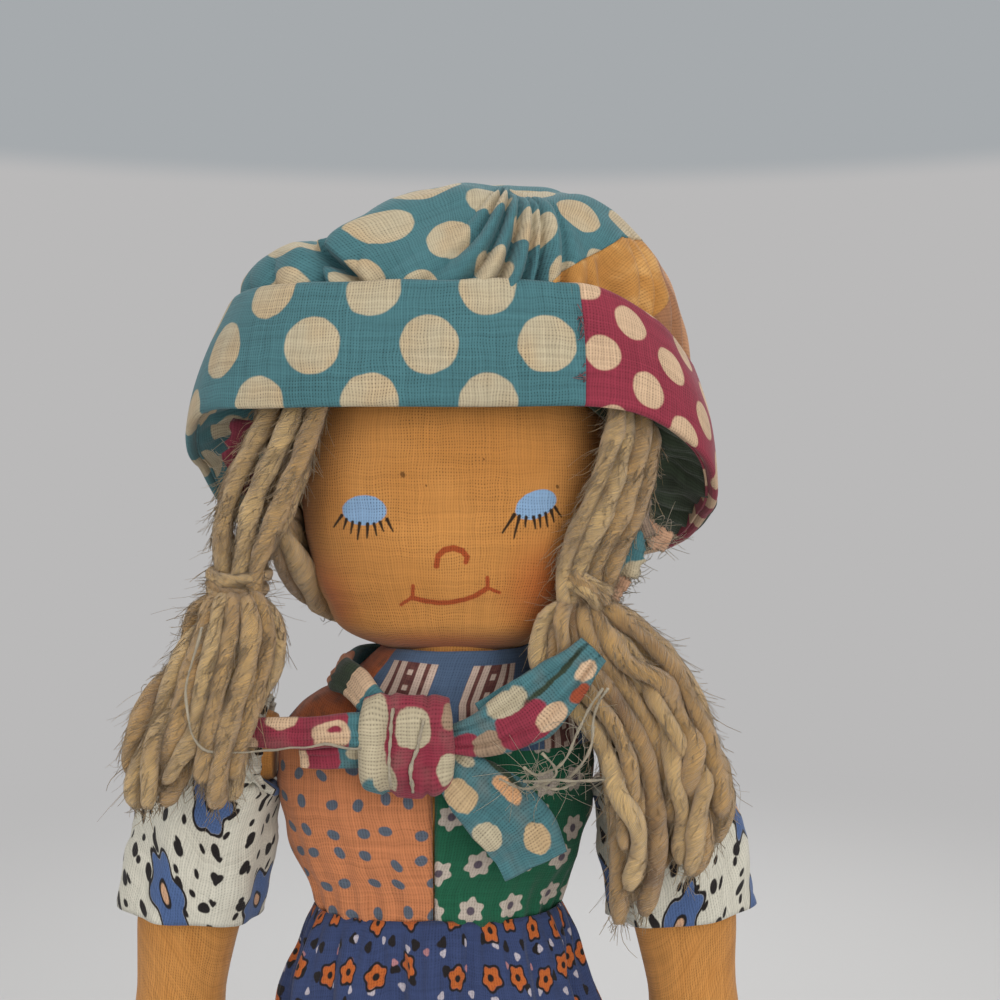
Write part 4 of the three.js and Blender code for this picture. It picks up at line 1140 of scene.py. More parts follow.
def brim_panel(name, start, end, material, node, seed, under, threads=()):
    """One panel of the turned-up brim: a strip folded over at its top edge.

    under says, for each end, whether the panel's edge lies under its neighbour's.
    """
    start, end = ring_turn(start, CAP_MIDDLE), ring_turn(end, CAP_MIDDLE)
    count = int(abs(np.subtract(*np.interp([end, start], RING_TURNS, RING_RUN))))
    turns, along = evenly(start - 0.004 * under[0], end + 0.004 * under[1], max(count * 2, 12))
    up = np.linspace(0, 1, 16)
    arc = np.linspace(0, math.pi, 7)[1:-1]
    hem = [(1.25, 0.75), (0.75, 0.12), (0.3, 0.0), (0.06, 0.25)]
    wall = BRIM_HEIGHT - 2 * BRIM_HALF
    outside = [(0.0, BRIM_FOOT + u * wall) for u in up]
    over = [(BRIM_HALF * (1 - math.cos(a)), BRIM_FOOT + wall + BRIM_HALF * math.sin(a))
            for a in arc]
    inside = [(2 * BRIM_HALF, rise) for _, rise in outside[::-1]]
    section = np.array(hem + outside + over + inside)
    cut = run_along(section)
    share = section[:, 1] / BRIM_HEIGHT
    bulge = np.sin(np.clip(share, 0, 1) * math.pi) * 0.7
    inset = section[:, 0] + BRIM_LEAN * share - bulge * np.where(section[:, 0] < 0.8, 1, 0.2)
    pressed = side_lean(turns) * np.clip(share, 0, 1)[:, None] ** 1.3
    pressed = pressed + 1.5 * bump_at(turns, 0.26, 0.12)
    points = cap_ring(turns[None, :], inset[:, None] + pressed, section[:, 1:2])
    waves = ripple(stacked(along / 7, share[:, None] * 1.2, seed), 1.0, 1.0)
    top_wave = ripple(stacked(along / 9, seed, 0), 1.0, 0.5) - 1.3 * bump_at(turns, 0.125, 0.1)
    out = unit(cap_ring(turns, 0, 0) - cap_ring(turns, 2, 0))
    amount = 0.55 * waves * (0.35 + 0.65 * share[:, None])
    tuck = SIDE_TUCK * (under[0] * np.clip(TUCK_REACH - (along - along[0]), 0, 1) ** 2
                        + under[1] * np.clip(TUCK_REACH - (along[-1] - along), 0, 1) ** 2)
    points = points + out * (amount - tuck)[..., None]
    points[..., 2] += top_wave * share[:, None] ** 2
    uv = stacked(along, (cut - cut[len(hem)] + BRIM_FOOT)[:, None])
    piece = thicken(cloth_grid(name, points, uv), BRIM_CLOTH)
    dress(piece, "head", material, [node])
    return piece


def seam_threads():
    """Ends of the maroon sewing thread, left beside the brim's front seam."""
    random = np.random.default_rng(8)
    turn = ring_turn(BRIM_SEAMS[0], CAP_MIDDLE) - 0.0012
    rises = np.concatenate([random.uniform(8.2, 10.8, 9), random.uniform(2.6, 5.4, 8)])
    count = len(rises)
    shares = rises / BRIM_HEIGHT
    inset = BRIM_LEAN * shares - 0.7 * np.sin(shares * math.pi) - 0.35
    roots = cap_ring(turn, inset, rises)
    ways = stacked(-random.uniform(0.3, 1, count), 0.12, random.normal(size=count) * 0.7)
    piece = hairs("brim_seam_threads", roots, ways, random.uniform(0.6, 1.7, count), 0.5, 9,
                  radius=0.09)
    return dress(piece, "head", maroon_thread)


brim_panel("brim_teal_cloth", BRIM_SEAMS[2] - 1, BRIM_SEAMS[0], teal_brim,
           "brim_teal", 1.0, (0, 0), [seam_threads()])
brim_panel("brim_maroon_cloth", BRIM_SEAMS[0], BRIM_SEAMS[1], maroon_brim,
           "brim_maroon", 5.0, (1, 1))
brim_panel("brim_mustard_cloth", BRIM_SEAMS[1], BRIM_SEAMS[2], mustard_cloth,
           "brim_mustard", 9.0, (0, 1))


# Crown: a disc of cloth gathered into the brim, with two gores let in low at the doll's left.
# Between two gathers the cloth stands up in a rounded pleat that fades upwards.

# Where the pleats stand out most: middle and half width as turns, and how much
STRONG_PLEATS = ((0.012, 0.085, 1), (-0.14, 0.05, 0.7), (0.18, 0.09, 0.5), (0.42, 0.15, 0.5),
                 (-0.4, 0.15, 0.5))
PLEAT_COUNT = 46


def pleats(direction, share):
    """Height of the pleats at a direction, a turn from the front, and a share of the way up."""
    random = np.random.default_rng(12)
    gaps = random.uniform(0.5, 1.5, PLEAT_COUNT)
    edges = np.concatenate([[0], np.cumsum(gaps)]) / gaps.sum() - 0.5
    off = np.mod(direction + 0.5, 1) - 0.5
    strong = sum(size * bump_at(off, middle, wide) for middle, wide, size in STRONG_PLEATS)
    lean = 0.18 * bump_at(off, -0.04, 0.1) - 0.05 * bump_at(off, -0.2, 0.12)
    across = np.mod(off - lean * share + 0.5, 1) - 0.5
    k = np.clip(np.searchsorted(edges, across, side="right") - 1, 0, len(gaps) - 1)
    t = np.clip((across - edges[k]) / (edges[k + 1] - edges[k]), 0, 1)
    pleat = np.sin(t * math.pi) ** 0.6 - 0.62
    long = 0.75 + 0.5 * np.abs(np.sin(k * 2.4 + 1))
    reach = (0.2 + 0.42 * np.clip(strong, 0, 1)) * long
    fade = np.clip(1 - share / reach, 0, 1) ** 0.8
    deep = (0.9 + 3.6 * np.clip(strong, 0, 1.2)) * fade
    return pleat * deep * gaps[k] ** 0.7


# The worn crown has slumped at the doll's right, behind one deep slanting fold.
CROWN_ROOF = ((-30, -26.4, -22.6, -17.4, -12.6, -8.8, -5.2, 0, 10),
              (66.5, 68.8, 71.4, 73.2, 73.8, 76.8, 79.6, 83, 89))
ROOF_GRIP = 1.3
ROOF_LEVEL = 70
ROOF_FALL = 0.12
FOLD_FOOT, FOLD_SLOPE = (-9.6, 67.2), 1.1
GORE_TOP = 72.4
GORE_START, GORE_SEAM, GORE_SEAM_TOP, GORE_END = 0.03, 0.14, 0.195, 0.305


@for_grids
def crown_surface(direction, share):
    """The puffed crown's outer face: direction as a turn, and the share of the way up."""
    turn = ring_turn(direction, CROWN_POLE, CROWN_INSET)
    base = cap_ring(turn, CROWN_INSET + side_lean(turn), BRIM_HEIGHT - 2)
    angle = np.clip(share, 0, 1) * math.pi / 2
    inward = (1 - np.cos(angle))[..., None]
    point = base * (1 - inward) + CROWN_POLE * inward
    point[..., 2] = base[..., 2] + (CROWN_POLE[2] - base[..., 2]) * np.sin(angle)
    normal = unit((base - [HEAD_SIDE, BRIM_BACK, 0]) * [1, 1, 0]) * np.cos(angle)[..., None]
    normal[..., 2] = np.sin(angle)
    puff = 1.6 * np.sin(np.clip(share / 0.7, 0, 1) * math.pi) ** 0.7
    loose = ripple(point, 9.0, 1.4, 4.0) + ripple(point, 4.2, 0.5, 9.0)
    soft = np.sin(np.clip(share, 0, 1) * math.pi) ** 0.6
    point = point + normal * (puff + pleats(direction, share) + loose * soft)[..., None]
    x, y, z = point[..., 0], point[..., 1], point[..., 2]
    roof = np.interp(x, *CROWN_ROOF) + ripple(point * [1, 1, 0], 7.0, 1.2, 6.0)
    roof = roof + ROOF_FALL * np.clip(y + 4, -16, 8)
    lower = np.exp(-ROOF_GRIP * (z - ROOF_LEVEL)) + np.exp(-ROOF_GRIP * (roof - ROOF_LEVEL))
    point[..., 2] = ROOF_LEVEL - np.log(lower) / ROOF_GRIP
    fold = bump_at(x + FOLD_SLOPE * (z - FOLD_FOOT[1]), FOLD_FOOT[0], 1.7)
    cut = 5.6 * fold * bump_at(y, -20, 16) * bump_at(z, 69.5, 4.8)
    notch = 2.2 * bump_at(direction, 0.103, 0.018) * bump_at(share, 0.1, 0.2)
    return point - normal * (cut + notch)[..., None]


def gore_share(direction):
    """How far up the gores reach at a direction: a slanting seam, then a level one."""
    turn = ring_turn(direction, CROWN_POLE, CROWN_INSET)
    base = edge_height(turn) + (BRIM_HEIGHT - 2)
    level = np.arcsin(np.clip((GORE_TOP - base) / (CROWN_TOP - base), 0, 0.97)) * 2 / math.pi
    start = np.clip((direction - GORE_START) / 0.095, 0, 1)
    end = np.clip((GORE_END - direction) / 0.05, 0, 1)
    return level * start ** 0.75 * smooth(end)


CAP_ROUND = 190
DISC_RADIUS = 37.5
CROWN_HEART = (HEAD_SIDE, BRIM_BACK, 50)
GORE_TALL = 38
GORE_TUCK, GORE_TUCK_WIDE, GORE_SIDE_WIDE = 0.55, 1.7, 1.2


def crown_cloth(name, direction, low, high, material, node, wraps=False):
    """Part of the crown between two shares of the way up, with the UVs of a flat disc."""
    share = low + (high - low) * np.linspace(0, 1, len(direction))[:, None]
    points = crown_surface(direction, share)
    normal = unit(points - CROWN_HEART)
    if not wraps:
        side = (direction - direction[:, :1]) * CAP_ROUND * (1 - share)
        under = np.maximum(np.clip(1 - (high - share) * GORE_TALL / GORE_TUCK_WIDE, 0, 1),
                           np.clip(1 - side / GORE_SIDE_WIDE, 0, 1))
        points = points - normal * (GORE_TUCK * under ** 1.3)[..., None]
    reach = DISC_RADIUS * (1 - share)
    uv = np.stack([reach * np.sin(direction * FULL), -reach * np.cos(direction * FULL)], -1)
    piece = cloth_grid(name, points[:, :-1] if wraps else points, uv, wraps)
    thicken(piece, CROWN_CLOTH)
    dress(piece, "head", material, [node])


CROWN_POINTS, GORE_POINTS = (84, 481), (56, 84)
GORE_LAP, GORE_SIDE_LAP = 0.03, 0.005
around = np.broadcast_to(np.linspace(-0.5, 0.5, CROWN_POINTS[1]), CROWN_POINTS)
low = np.where((around > GORE_START) & (around < GORE_END), gore_share(around) + 0.003, 0)
crown_cloth("crown_teal_cloth", around, low, 0.9996, teal_cloth, "crown_teal",
            wraps=True)
rows = np.linspace(0, 1, GORE_POINTS[0])[:, None]
seam = GORE_SEAM + (GORE_SEAM_TOP - GORE_SEAM) * rows
for name, start, end, cloth, slot in (
        ("crown_mustard", GORE_START + 0 * seam, seam, mustard_cloth, "mustard"),
        ("crown_tan", seam - GORE_SIDE_LAP, GORE_END + 0 * seam, tan_cloth, "tan")):
    around = start + (end - start) * np.linspace(0, 1, GORE_POINTS[1])
    crown_cloth(name + "_cloth", around, 0 * around, gore_share(around) + GORE_LAP, cloth,
                name)


# Lining under the brim, and the band that grips the hair

BAND_HALF_WIDE, BAND_HALF_DEEP, BAND_SQUARE = 23.6, 18.3, 2.2
BAND_BACK, BAND_FOOT = 1.7, 2


def band_ring(turn, grow, rise):
    """Points on the ring of the headband, this far out from it and above its foot."""
    x, y = ring(turn, BAND_HALF_WIDE + grow, BAND_HALF_DEEP + grow, BAND_SQUARE)
    return stacked(HEAD_SIDE + x, BAND_BACK + y, edge_height(turn) + BAND_FOOT + rise)


FRONT = np.array([0.0, -1.0, 0.0])


def scrap(name, route, widths, material, slot, seed):
    """Torn strip of cloth that hangs at the cap's raw inner seam, with its loose threads."""
    random = np.random.default_rng(seed)
    line = path(route, 16)
    along = np.gradient(line, axis=0)
    across = unit(np.cross(along, FRONT))
    wide = np.interp(np.linspace(0, 1, 16), np.linspace(0, 1, len(widths)), widths)
    wide = wide * random.uniform(0.8, 1.2, 16)
    v = np.linspace(-0.5, 0.5, 7)
    points = line[:, None] + across[:, None] * (v[None, :, None] * wide[:, None, None])
    points = points + FRONT * (ripple(points, 2.2, 1.1, seed) - 1.6 * v**2)[..., None]
    uv = stacked(v * wide[:, None], run_of(points, 0))
    piece = thicken(cloth_grid(name, points, uv), LINING_CLOTH)
    dress(piece, "head", material)
    edges = np.concatenate([points[:, 0], points[:, -1], points[-1], points[-1]])
    outward = np.concatenate([-across, across, along[-1:].repeat(2 * len(v), 0)])
    ways = unit(outward) + random.normal(size=edges.shape) * 0.5
    frays = hairs(name + "_frays", edges, ways, random.uniform(0.3, 1.2, len(edges)), 1.0, seed,
                  radius=0.05, steps=7)
    return [piece, dress(frays, "head", thread_cotton)]


LINING_FOLDS = 46
LINING_LENGTH = 13


def lining_panel(name, start, end, material, replaces=(), scraps=()):
    """Gathered cloth between the headband and the brim, from one turn to another."""
    turns = np.linspace(start, end, int((end - start) * CAP_ROUND))[None, :]
    share = np.linspace(0, 1, 14)[:, None]
    low_side = bump_at(turns, 0.3, 0.16)
    inner = band_ring(turns, 0.6, 1.5)
    outer = cap_ring(turns, 1.5 - 0.4 * low_side, 0.7 - 0.4 * low_side)
    points = inner * (1 - share[..., None]) + outer * share[..., None]
    crease = ripple(points, 4.5, 1.5, 2.0) + 0.7 * np.cos(turns * FULL * LINING_FOLDS)
    points[..., 2] += (crease + 1.2) * np.sin(share * math.pi)
    uv = stacked(turns * CAP_ROUND, share * LINING_LENGTH)
    piece = thicken(cloth_grid(name, points, uv), LINING_CLOTH)
    dress(piece, "head", material, replaces)
    return piece


grey_scrap = woven("grey_scrap", plain(ink(138, 118, 102), ink(164, 146, 128), 0.6), gaps=0.5)
peach_scrap = woven("peach_scrap", plain(ink(186, 146, 118), ink(196, 170, 148), 0.6), gaps=0.5)
maroon_scrap = woven("maroon_scrap", plain(ink(108, 44, 56), MAROON, 0.6), gaps=0.4)
LEFT_SCRAPS = (
    ("grey_scrap", ((25, -7.6, 45.8), (25.9, -8.3, 42), (25.6, -8.8, 38.8), (26.4, -8.5, 36.6)),
     (1.2, 2, 1.8), grey_scrap, "tan", 3),
    ("peach_scrap", ((25.9, -7.9, 38.6), (27.3, -7.8, 36.8), (29.2, -7, 35.8)), (1.6, 2.9, 2.4),
     peach_scrap, "tan", 4),
    ("teal_scrap", ((25.6, -8.6, 37.8), (24.5, -9.2, 35), (23.6, -9.4, 31.8)), (1.6, 3.4, 2.6),
     teal_cloth, "teal_dots", 5),
    ("small_scrap", ((23.9, -9.2, 32.6), (22.8, -9.4, 30.6), (21.9, -9.4, 28.6)), (1.4, 2, 1.2),
     peach_scrap, "tan", 6),
)
lining_panel("cap_lining", 0.04, 0.4, lining_cloth, ["cap_underside"],
             sum([scrap(*row) for row in LEFT_SCRAPS], []))
lining_panel("cap_lining_teal", 0.62, 1.04, teal_cloth, (), (
    scrap("maroon_scrap", ((-23, -8.8, 51), (-23.7, -9.6, 46.4), (-23, -9.8, 41.8)), (3.4, 4, 2.8),
          maroon_scrap, "maroon_dots", 7)))
lining_panel("cap_lining_tan", 0.4, 0.62, tan_cloth)

BAND_ROUND, BAND_HEIGHT = 134, 9
turns = np.linspace(0, 1, 121)[None, :]
rise = np.linspace(0, BAND_HEIGHT, 7)[:, None]
band_points = band_ring(turns, 0.5 - 0.06 * rise, rise + 0.6)
band_uv = stacked(turns * BAND_ROUND, rise)
cap_band = thicken(cloth_grid("cap_band", band_points[:, :-1], band_uv, wraps=True), BAND_CLOTH)
dress(cap_band, "head", lining_cloth, ["cap_headband"])


# Hair: thick soft yarn, parted at the back and drawn to the two pigtails

def clear_of_head(line, lift):
    """Moves points of a line out until they lie this far from the head."""
    line = np.array(line, float)
    share = (line[:, 2] - HEAD_BASE) / HEAD_HEIGHT
    across = through(HEAD_ROWS, np.clip(share, 0.02, 1))
    half_wide = across[:, 0] * HEAD_WIDE / 2 + lift
    half_deep = across[:, 1] * HEAD_DEEP / 2 + lift
    x, y = line[:, 0] - HEAD_SIDE, line[:, 1]
    size = (np.abs(x / half_wide) ** HEAD_SQUARE
            + np.abs(y / half_deep) ** HEAD_SQUARE) ** (1 / HEAD_SQUARE)
    beside = (share > -0.02) & (share < 1.02)
    grow = np.where(beside & (size < 1), 1 / np.maximum(size, 0.2), 1)
    line[:, 0], line[:, 1] = HEAD_SIDE + x * grow, y * grow
    return line


def shaken(line, amount, seed, size=6.0):
    """A line with soft wanders in it, none at its start."""
    flat = np.array(line, float)
    start = np.linspace(0, 1, len(flat)) ** 0.7
    for axis in range(3):
        flat[:, axis] += ripple(flat + [seed * 7.1, axis * 13.0, 0], size, amount) * start
    return flat


PIGTAIL_ROOTS = {1: (22.6, -9.4, 40), -1: (-20.6, -8.2, 41)}
BACK_STRANDS, BACK_POINTS = 15, 44
BRAID_POINTS = 46


def back_hair():
    """Strands drawn from the parting at the back round to the two pigtails."""
    lines, radii = [], []
    for side in (1, -1):
        for k in range(BACK_STRANDS):
            start_share = 0.04 + 0.06 * k
            t = np.linspace(0, 1, BACK_POINTS)
            blend = smooth(t)
            turn = 0.5 - side * ((0.296 - 0.0016 * k) * t - 0.003)
            share = start_share * (1 - blend) + (0.13 + 0.036 * k) * blend
            share = share - 0.03 * np.sin(t * math.pi) * (1 if k > 6 else 0.3)
            surface = head_surface(turn, share)
            normal = normals_of(head_surface, turn, share)
            lift = 1.25 + (0.5 + 0.8 * (k % 2)) * blend + 0.35 * (k % 2)
            line = surface + normal * lift[:, None]
            drawn = np.clip((t - 0.76) / 0.24, 0, 1)[:, None] ** 2
            root = np.array(PIGTAIL_ROOTS[side]) + [0, 0, max(0.0, line[-1, 2] - 36) * 0.8]
            lines.append(shaken(line + (root - line) * drawn * 0.92, 0.35, k + 20 * side))
            radii.append((1.42 - 0.12 * (k % 3)) * (1 - 0.6 * np.clip((t - 0.92) / 0.08, 0, 1)))
    lines = spread_apart(lines, radii, -6, lambda points: clear_of_head(points, 1.2), 10)
    return yarns("hair_back_yarn", lines, radii), lines, radii


def fuzz(name, lines, radii, count, seed):
    """Fibres of yarns: most lie along the strand, some stand off it."""
    random = np.random.default_rng(seed)
    roots, directions, lengths, thick = [], [], [], []
    for k in range(count):
        line = lines[k % len(lines)]
        radius = np.broadcast_to(radii[k % len(lines)], len(line))
        at = random.integers(2, len(line) - 4)
        along = unit(line[at + 2] - line[at])
        off = random.normal(size=3)
        off = unit(off - along * off.dot(along))
        stands = k % 4 == 0
        around = np.cross(along, off) * (0.42 if not stands else random.uniform(-0.4, 0.4))
        roots.append(line[at] + off * radius[at] * (0.9 if stands else 1.0))
        rise = random.uniform(0.15, 0.8) if stands else random.uniform(-0.02, 0.14)
        directions.append(along + around + off * rise)
        lengths.append(random.uniform(1.2, 3.8) if stands else random.uniform(1.4, 3.0))
        thick.append(0.026 if stands else random.uniform(0.035, 0.065))
    return hairs(name, roots, directions, lengths, 0.28, seed + 1, radius=thick)


hair_back, back_lines, back_radii = back_hair()
dress(hair_back, "head", yarn_wool, ["hair_back"])
dress(fuzz("hair_back_fuzz", back_lines, back_radii, 2600, 5), "head", yarn_wool)

LEFT_LINES = (
    ((23.4, -12, 57), (23, -13, 50.6), (21.6, -13.8, 43.6), (19.6, -14.1, 38), (17.9, -13.8, 33.6),
     (17.2, -13.2, 30)),
    ((24.8, -10.8, 57), (24.6, -12, 50), (23.2, -13, 43), (21, -13.6, 37.4), (19.2, -13.4, 33.4),
     (18.4, -12.9, 30)),
    ((22.6, -13, 57), (22.4, -13.8, 50), (20.7, -14.6, 43.6), (18.2, -14.8, 38),
     (16.6, -14.2, 33.8), (16.6, -13.4, 30)),
    ((25.6, -7.5, 56), (26.2, -9, 49), (25.2, -10.4, 42.4), (22.8, -11.8, 37), (20.6, -12.4, 33),
     (19.6, -12.2, 30)),
    ((24.6, -6, 55), (25, -8, 48), (24, -9.6, 41), (21.6, -11, 35.6), (19.4, -11.6, 32.4),
     (18.6, -11.4, 30)),
    ((22.4, -9, 55), (23, -10.8, 47), (21.6, -11.8, 40), (19.6, -12, 35), (18, -12, 32),
     (17.6, -11.8, 30)),
)
RIGHT_LINES = (
    ((-15, -13, 57), (-16.4, -13.8, 51.6), (-18.8, -13.6, 46.6), (-21.6, -13.2, 40.4),
     (-22.8, -12.4, 34.4), (-23.4, -11.4, 30)),
    ((-12.6, -13.6, 57), (-13.8, -14.2, 51.6), (-15.8, -14, 45.6), (-18.4, -13.6, 39.6),
     (-20.8, -12.8, 34), (-22.2, -11.6, 30)),
    ((-17.8, -10.5, 57), (-20.2, -11.5, 50.6), (-23.4, -11.8, 44.4), (-25.4, -11.6, 39),
     (-25.2, -10.8, 34), (-24.8, -10.2, 30)),
    ((-19, -7, 56), (-22, -8.2, 49), (-24.8, -8.8, 43), (-26, -9, 38), (-25.6, -9, 33.6),
     (-25, -9, 30)),
    ((-16, -10, 56), (-18, -11.5, 49), (-20.6, -11.6, 42.6), (-22.8, -11, 37), (-23.8, -10.2, 33),
     (-24, -9.6, 30)),
    ((-14, -11.8, 56), (-15, -12.8, 48.6), (-17, -12.6, 42), (-19.4, -12, 36.6),
     (-21.8, -11, 32.6), (-23, -10.2, 30)),
)


def pigtail(name, routes, pivot):
    """Yarn from under the brim down to the tie."""
    lines = [clear_of_head(shaken(path(route, BRAID_POINTS), 0.5, k * 3.3), 1.5)
             for k, route in enumerate(routes)]
    thinner = 0.25 * np.linspace(0, 1, BRAID_POINTS) ** 2
    radii = [1.36 - 0.1 * (k % 3) - thinner for k in range(len(lines))]
    lines = spread_apart(lines, radii, 2, lambda points: clear_of_head(points, 1.4), 12)
    piece = yarns(name + "_braid_yarn", lines, radii)
    dress(piece, None, yarn_wool, [name + "_braid"])
    loose = fuzz(name + "_braid_fuzz", lines, radii, 1700, int(pivot[0]) + 60)
    dress(loose, None, yarn_wool)
    for one in (piece, loose):
        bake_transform(one)


pigtail("left", LEFT_LINES, (23.3, -10.4, 43.8))
pigtail("right", RIGHT_LINES, (-18.5, -10, 47.8))


WIND_POINTS = 70
END_POINTS = 10
ROUNDS_EACH = 1.12


def tie(name, middle, axis, radius, body, seed):
    """The same yarn wound round the end of a pigtail a few times, its two ends left out."""
    axis = unit(np.array(axis, float))
    side = unit(np.cross(axis, [0, 1, 0.2]))
    lift = np.cross(axis, side)
    lines, radii = [], []
    for wind in range(3):
        t = np.linspace(0, 1, WIND_POINTS)
        angle = t * FULL * ROUNDS_EACH + seed + wind * 2.2
        reach = radius * (1 + 0.1 * np.sin(angle * 2 + wind) + 0.04 * wind)
        rise = (wind - 1) * 1.3 + 0.9 * np.sin(angle + seed + wind)
        line = (np.array(middle) + side * (np.cos(angle) * reach)[:, None]
                + lift * (np.sin(angle) * reach)[:, None] + axis * rise[:, None])
        inward = (np.linspace(0, 0.5, END_POINTS) ** 1.5)[:, None]
        line[-END_POINTS:] -= (line[-END_POINTS:] - middle) * inward
        line[:END_POINTS] -= (line[:END_POINTS] - middle) * inward[::-1]
        lines.append(shaken(line, 0.6, seed + wind, 4.0))
        radii.append(0.8 + 0.1 * np.sin(9 * t + wind))
    piece = yarns(name + "_tie_yarn", lines, radii)
    dress(piece, body, yarn_wool, [name + "_tie"])
    loose = fuzz(name + "_tie_fuzz", lines, radii, 300, 90 + int(seed * 10))
    dress(loose, body, yarn_wool)


tie("left", (18.2, -12.5, 30.8), (0.35, 0.1, 1), 2.5, "left_pigtail", 0.6)
tie("right", (-23.8, -10.4, 30.8), (0.2, 0, 1), 2.7, "right_pigtail", 2.1)

LEFT_TUFT = (
    ((17.2, -13.2, 30.4), (14.4, -13.1, 25.6), (16.4, -12, 20.6), (21.4, -13.4, 13), (22.6, -15, 4),
     (21.8, -15, -4), (20.4, -15, -13.5)),
    ((18.4, -12.5, 30.6), (17, -12.4, 25.6), (21.4, -11.9, 21), (26.6, -13.4, 12), (28.2, -14, 2),
     (26.8, -14, -5), (24.4, -14, -9.5)),
    ((19.8, -11.8, 30.6), (20.8, -11.7, 26.6), (26.6, -12, 23), (32, -13, 13.6), (34, -13, 3),
     (32, -13, -3)),
)
RIGHT_TUFT = (
    ((-22.6, -11.6, 31), (-20.8, -13, 24), (-21.6, -14.6, 16), (-21.8, -15.6, 9),
     (-23.4, -15.6, 3.4)),
    ((-23.8, -11, 31), (-24.6, -13.4, 24), (-27, -15, 15), (-28.6, -15.6, 8), (-31, -15, 3.6)),
    ((-25, -10, 31), (-28, -12, 24), (-33.2, -13.6, 16), (-36, -14, 9), (-33.4, -14.4, 3.2)),
)


SLEEVE_FRONT = -10.4
SLEEVE_TOP = 13
GUIDE_POINTS, TUFT_POINTS = 60, 54
ENDS_EACH = 16


def tuft(name, guides, count, body, seed, shorten):
    """Loose yarn ends below the tie, fanned out between three guide strands."""
    random = np.random.default_rng(seed)
    curves = [path(guide, GUIDE_POINTS) for guide in guides]
    lines, radii = [], []
    for k in range(count):
        across = 2 * (k + random.uniform(0.1, 0.9)) / count
        low = min(int(across), 1)
        mix = across - low
        line = curves[low] * (1 - mix) + curves[low + 1] * mix
        depth = random.uniform(-1, 1)
        t = np.linspace(0, 1, GUIDE_POINTS)
        open_share = np.clip((t - 0.25) / 0.5, 0, 1)
        back = depth * (1 + 2.6 * open_share) * np.clip(t * 6, 0, 1)
        line = line + [0, 1, 0] * back[:, None]
        line = line + [1, 0, 0.3] * (random.normal() * 0.9 * t)[:, None]
        loose = shaken(line, 2.0, seed + k * 5.7, 7.0)
        line = line + (loose - line) * open_share[:, None]
        stop = 1 - shorten * random.random()
        line = path(line[:int(GUIDE_POINTS * stop)][::6], TUFT_POINTS)
        t = np.linspace(0, 1, TUFT_POINTS)
        lines.append(line)
        radii.append((1.0 + 0.25 * random.random()) * (0.7 + 0.3 * np.clip(t * 6, 0, 1))
                     * (1 - 0.5 * np.clip((t - 0.94) / 0.06, 0, 1) ** 2))

    def off_sleeve(points):
        """Keeps the strands in front of the sleeve."""
        beside = np.where(points[:, 2] < SLEEVE_TOP, SLEEVE_FRONT, 5)
        return np.column_stack([points[:, 0], np.minimum(points[:, 1], beside), points[:, 2]])

    lines = spread_apart(lines, radii, 3, off_sleeve)
    piece = yarns(name + "_tuft_yarn", lines, radii)
    dress(piece, body, yarn_wool, [name + "_tuft"])
    dress(fuzz(name + "_tuft_fuzz", lines, radii, 4200, seed + 1), body, yarn_wool)
    roots, ways = [], []
    for line in lines:
        along = unit(line[-1] - line[-3])
        for _ in range(ENDS_EACH):
            roots.append(line[-2] + random.normal(size=3) * 0.35)
            ways.append(along + random.normal(size=3) * 0.3)
    frayed = hairs(name + "_tuft_ends", roots, ways, random.uniform(0.9, 2.4, len(roots)), 0.3,
                   seed + 5, radius=0.05)
    dress(frayed, body, yarn_wool)


tuft("left", LEFT_TUFT, 26, "left_pigtail", 31, 0.22)
tuft("right", RIGHT_TUFT, 21, "right_pigtail", 47, 0.25)


# Body under the dress

def moved_out(surface, distance):
    """The same surface, moved out along its own normal."""
    @for_grids
    def outer(turn, share):
        return surface(turn, share) + normals_of(surface, turn, share) * distance
    return outer


ROUTE_POINTS = 400


def swept(route, rows, wide, deep):
    """Surface of a limb that follows a curve in a front-facing plane."""
    places = np.linspace(0, 1, ROUTE_POINTS)
    fine = path(route, len(places))
    along = np.gradient(fine, axis=0)

    @for_grids
    def surface(turn, share):
        at = np.clip(share, 0, 1)
        centre = np.stack([np.interp(at, places, fine[:, k]) for k in range(3)], -1)
        way = unit(np.stack([np.interp(at, places, along[:, k]) for k in range(3)], -1))
        across = unit(np.cross(way, FRONT))
        size = through(rows, at)
        x, y = ring(turn, wide / 2, deep / 2)
        return (centre + across * (x * size[..., 0])[..., None]
                - np.cross(across, way) * (y * size[..., 1])[..., None])
    return surface


def mirrored(surface):
    """The same surface on the doll's other side."""
    return lambda turn, share: surface(-np.asarray(turn), share) * [-1.0, 1.0, 1.0]


PANEL_TUCK = 0.9


def panel(name, surface, turns, shares, wraps=False, tuck=0.0, creases=(), from_top=False,
          gathered=False):
    """Cloth over part of a surface of turn and share, with UVs in mm from its middle."""
    turns, shares = np.meshgrid(turns, shares)
    points = surface(turns, shares)
    out = normals_of(surface, turns, shares)
    shape = closed(points) if wraps else points
    for size, depth, seed in creases:
        points = points + out * ripple(shape, size, depth, seed)[..., None]
    along = run_of(points, 1)
    if tuck:
        ends = np.minimum(along, along[:, -1:] - along)
        points = points - out * (tuck * np.clip(1 - ends / PANEL_TUCK, 0, 1) ** 2)[..., None]
    middle = points.shape[1] // 2
    tall = run_of(points, 0)
    tall = tall - tall[-1:] if from_top else tall
    flat = turns * along[:, -1].max() if gathered else along - along[:, middle:middle + 1]
    uv = np.stack([flat, tall], -1)
    piece = cloth_grid(name, points[:, :-1] if wraps else points, uv, wraps)
    return thicken(piece, DRESS_CLOTH), points


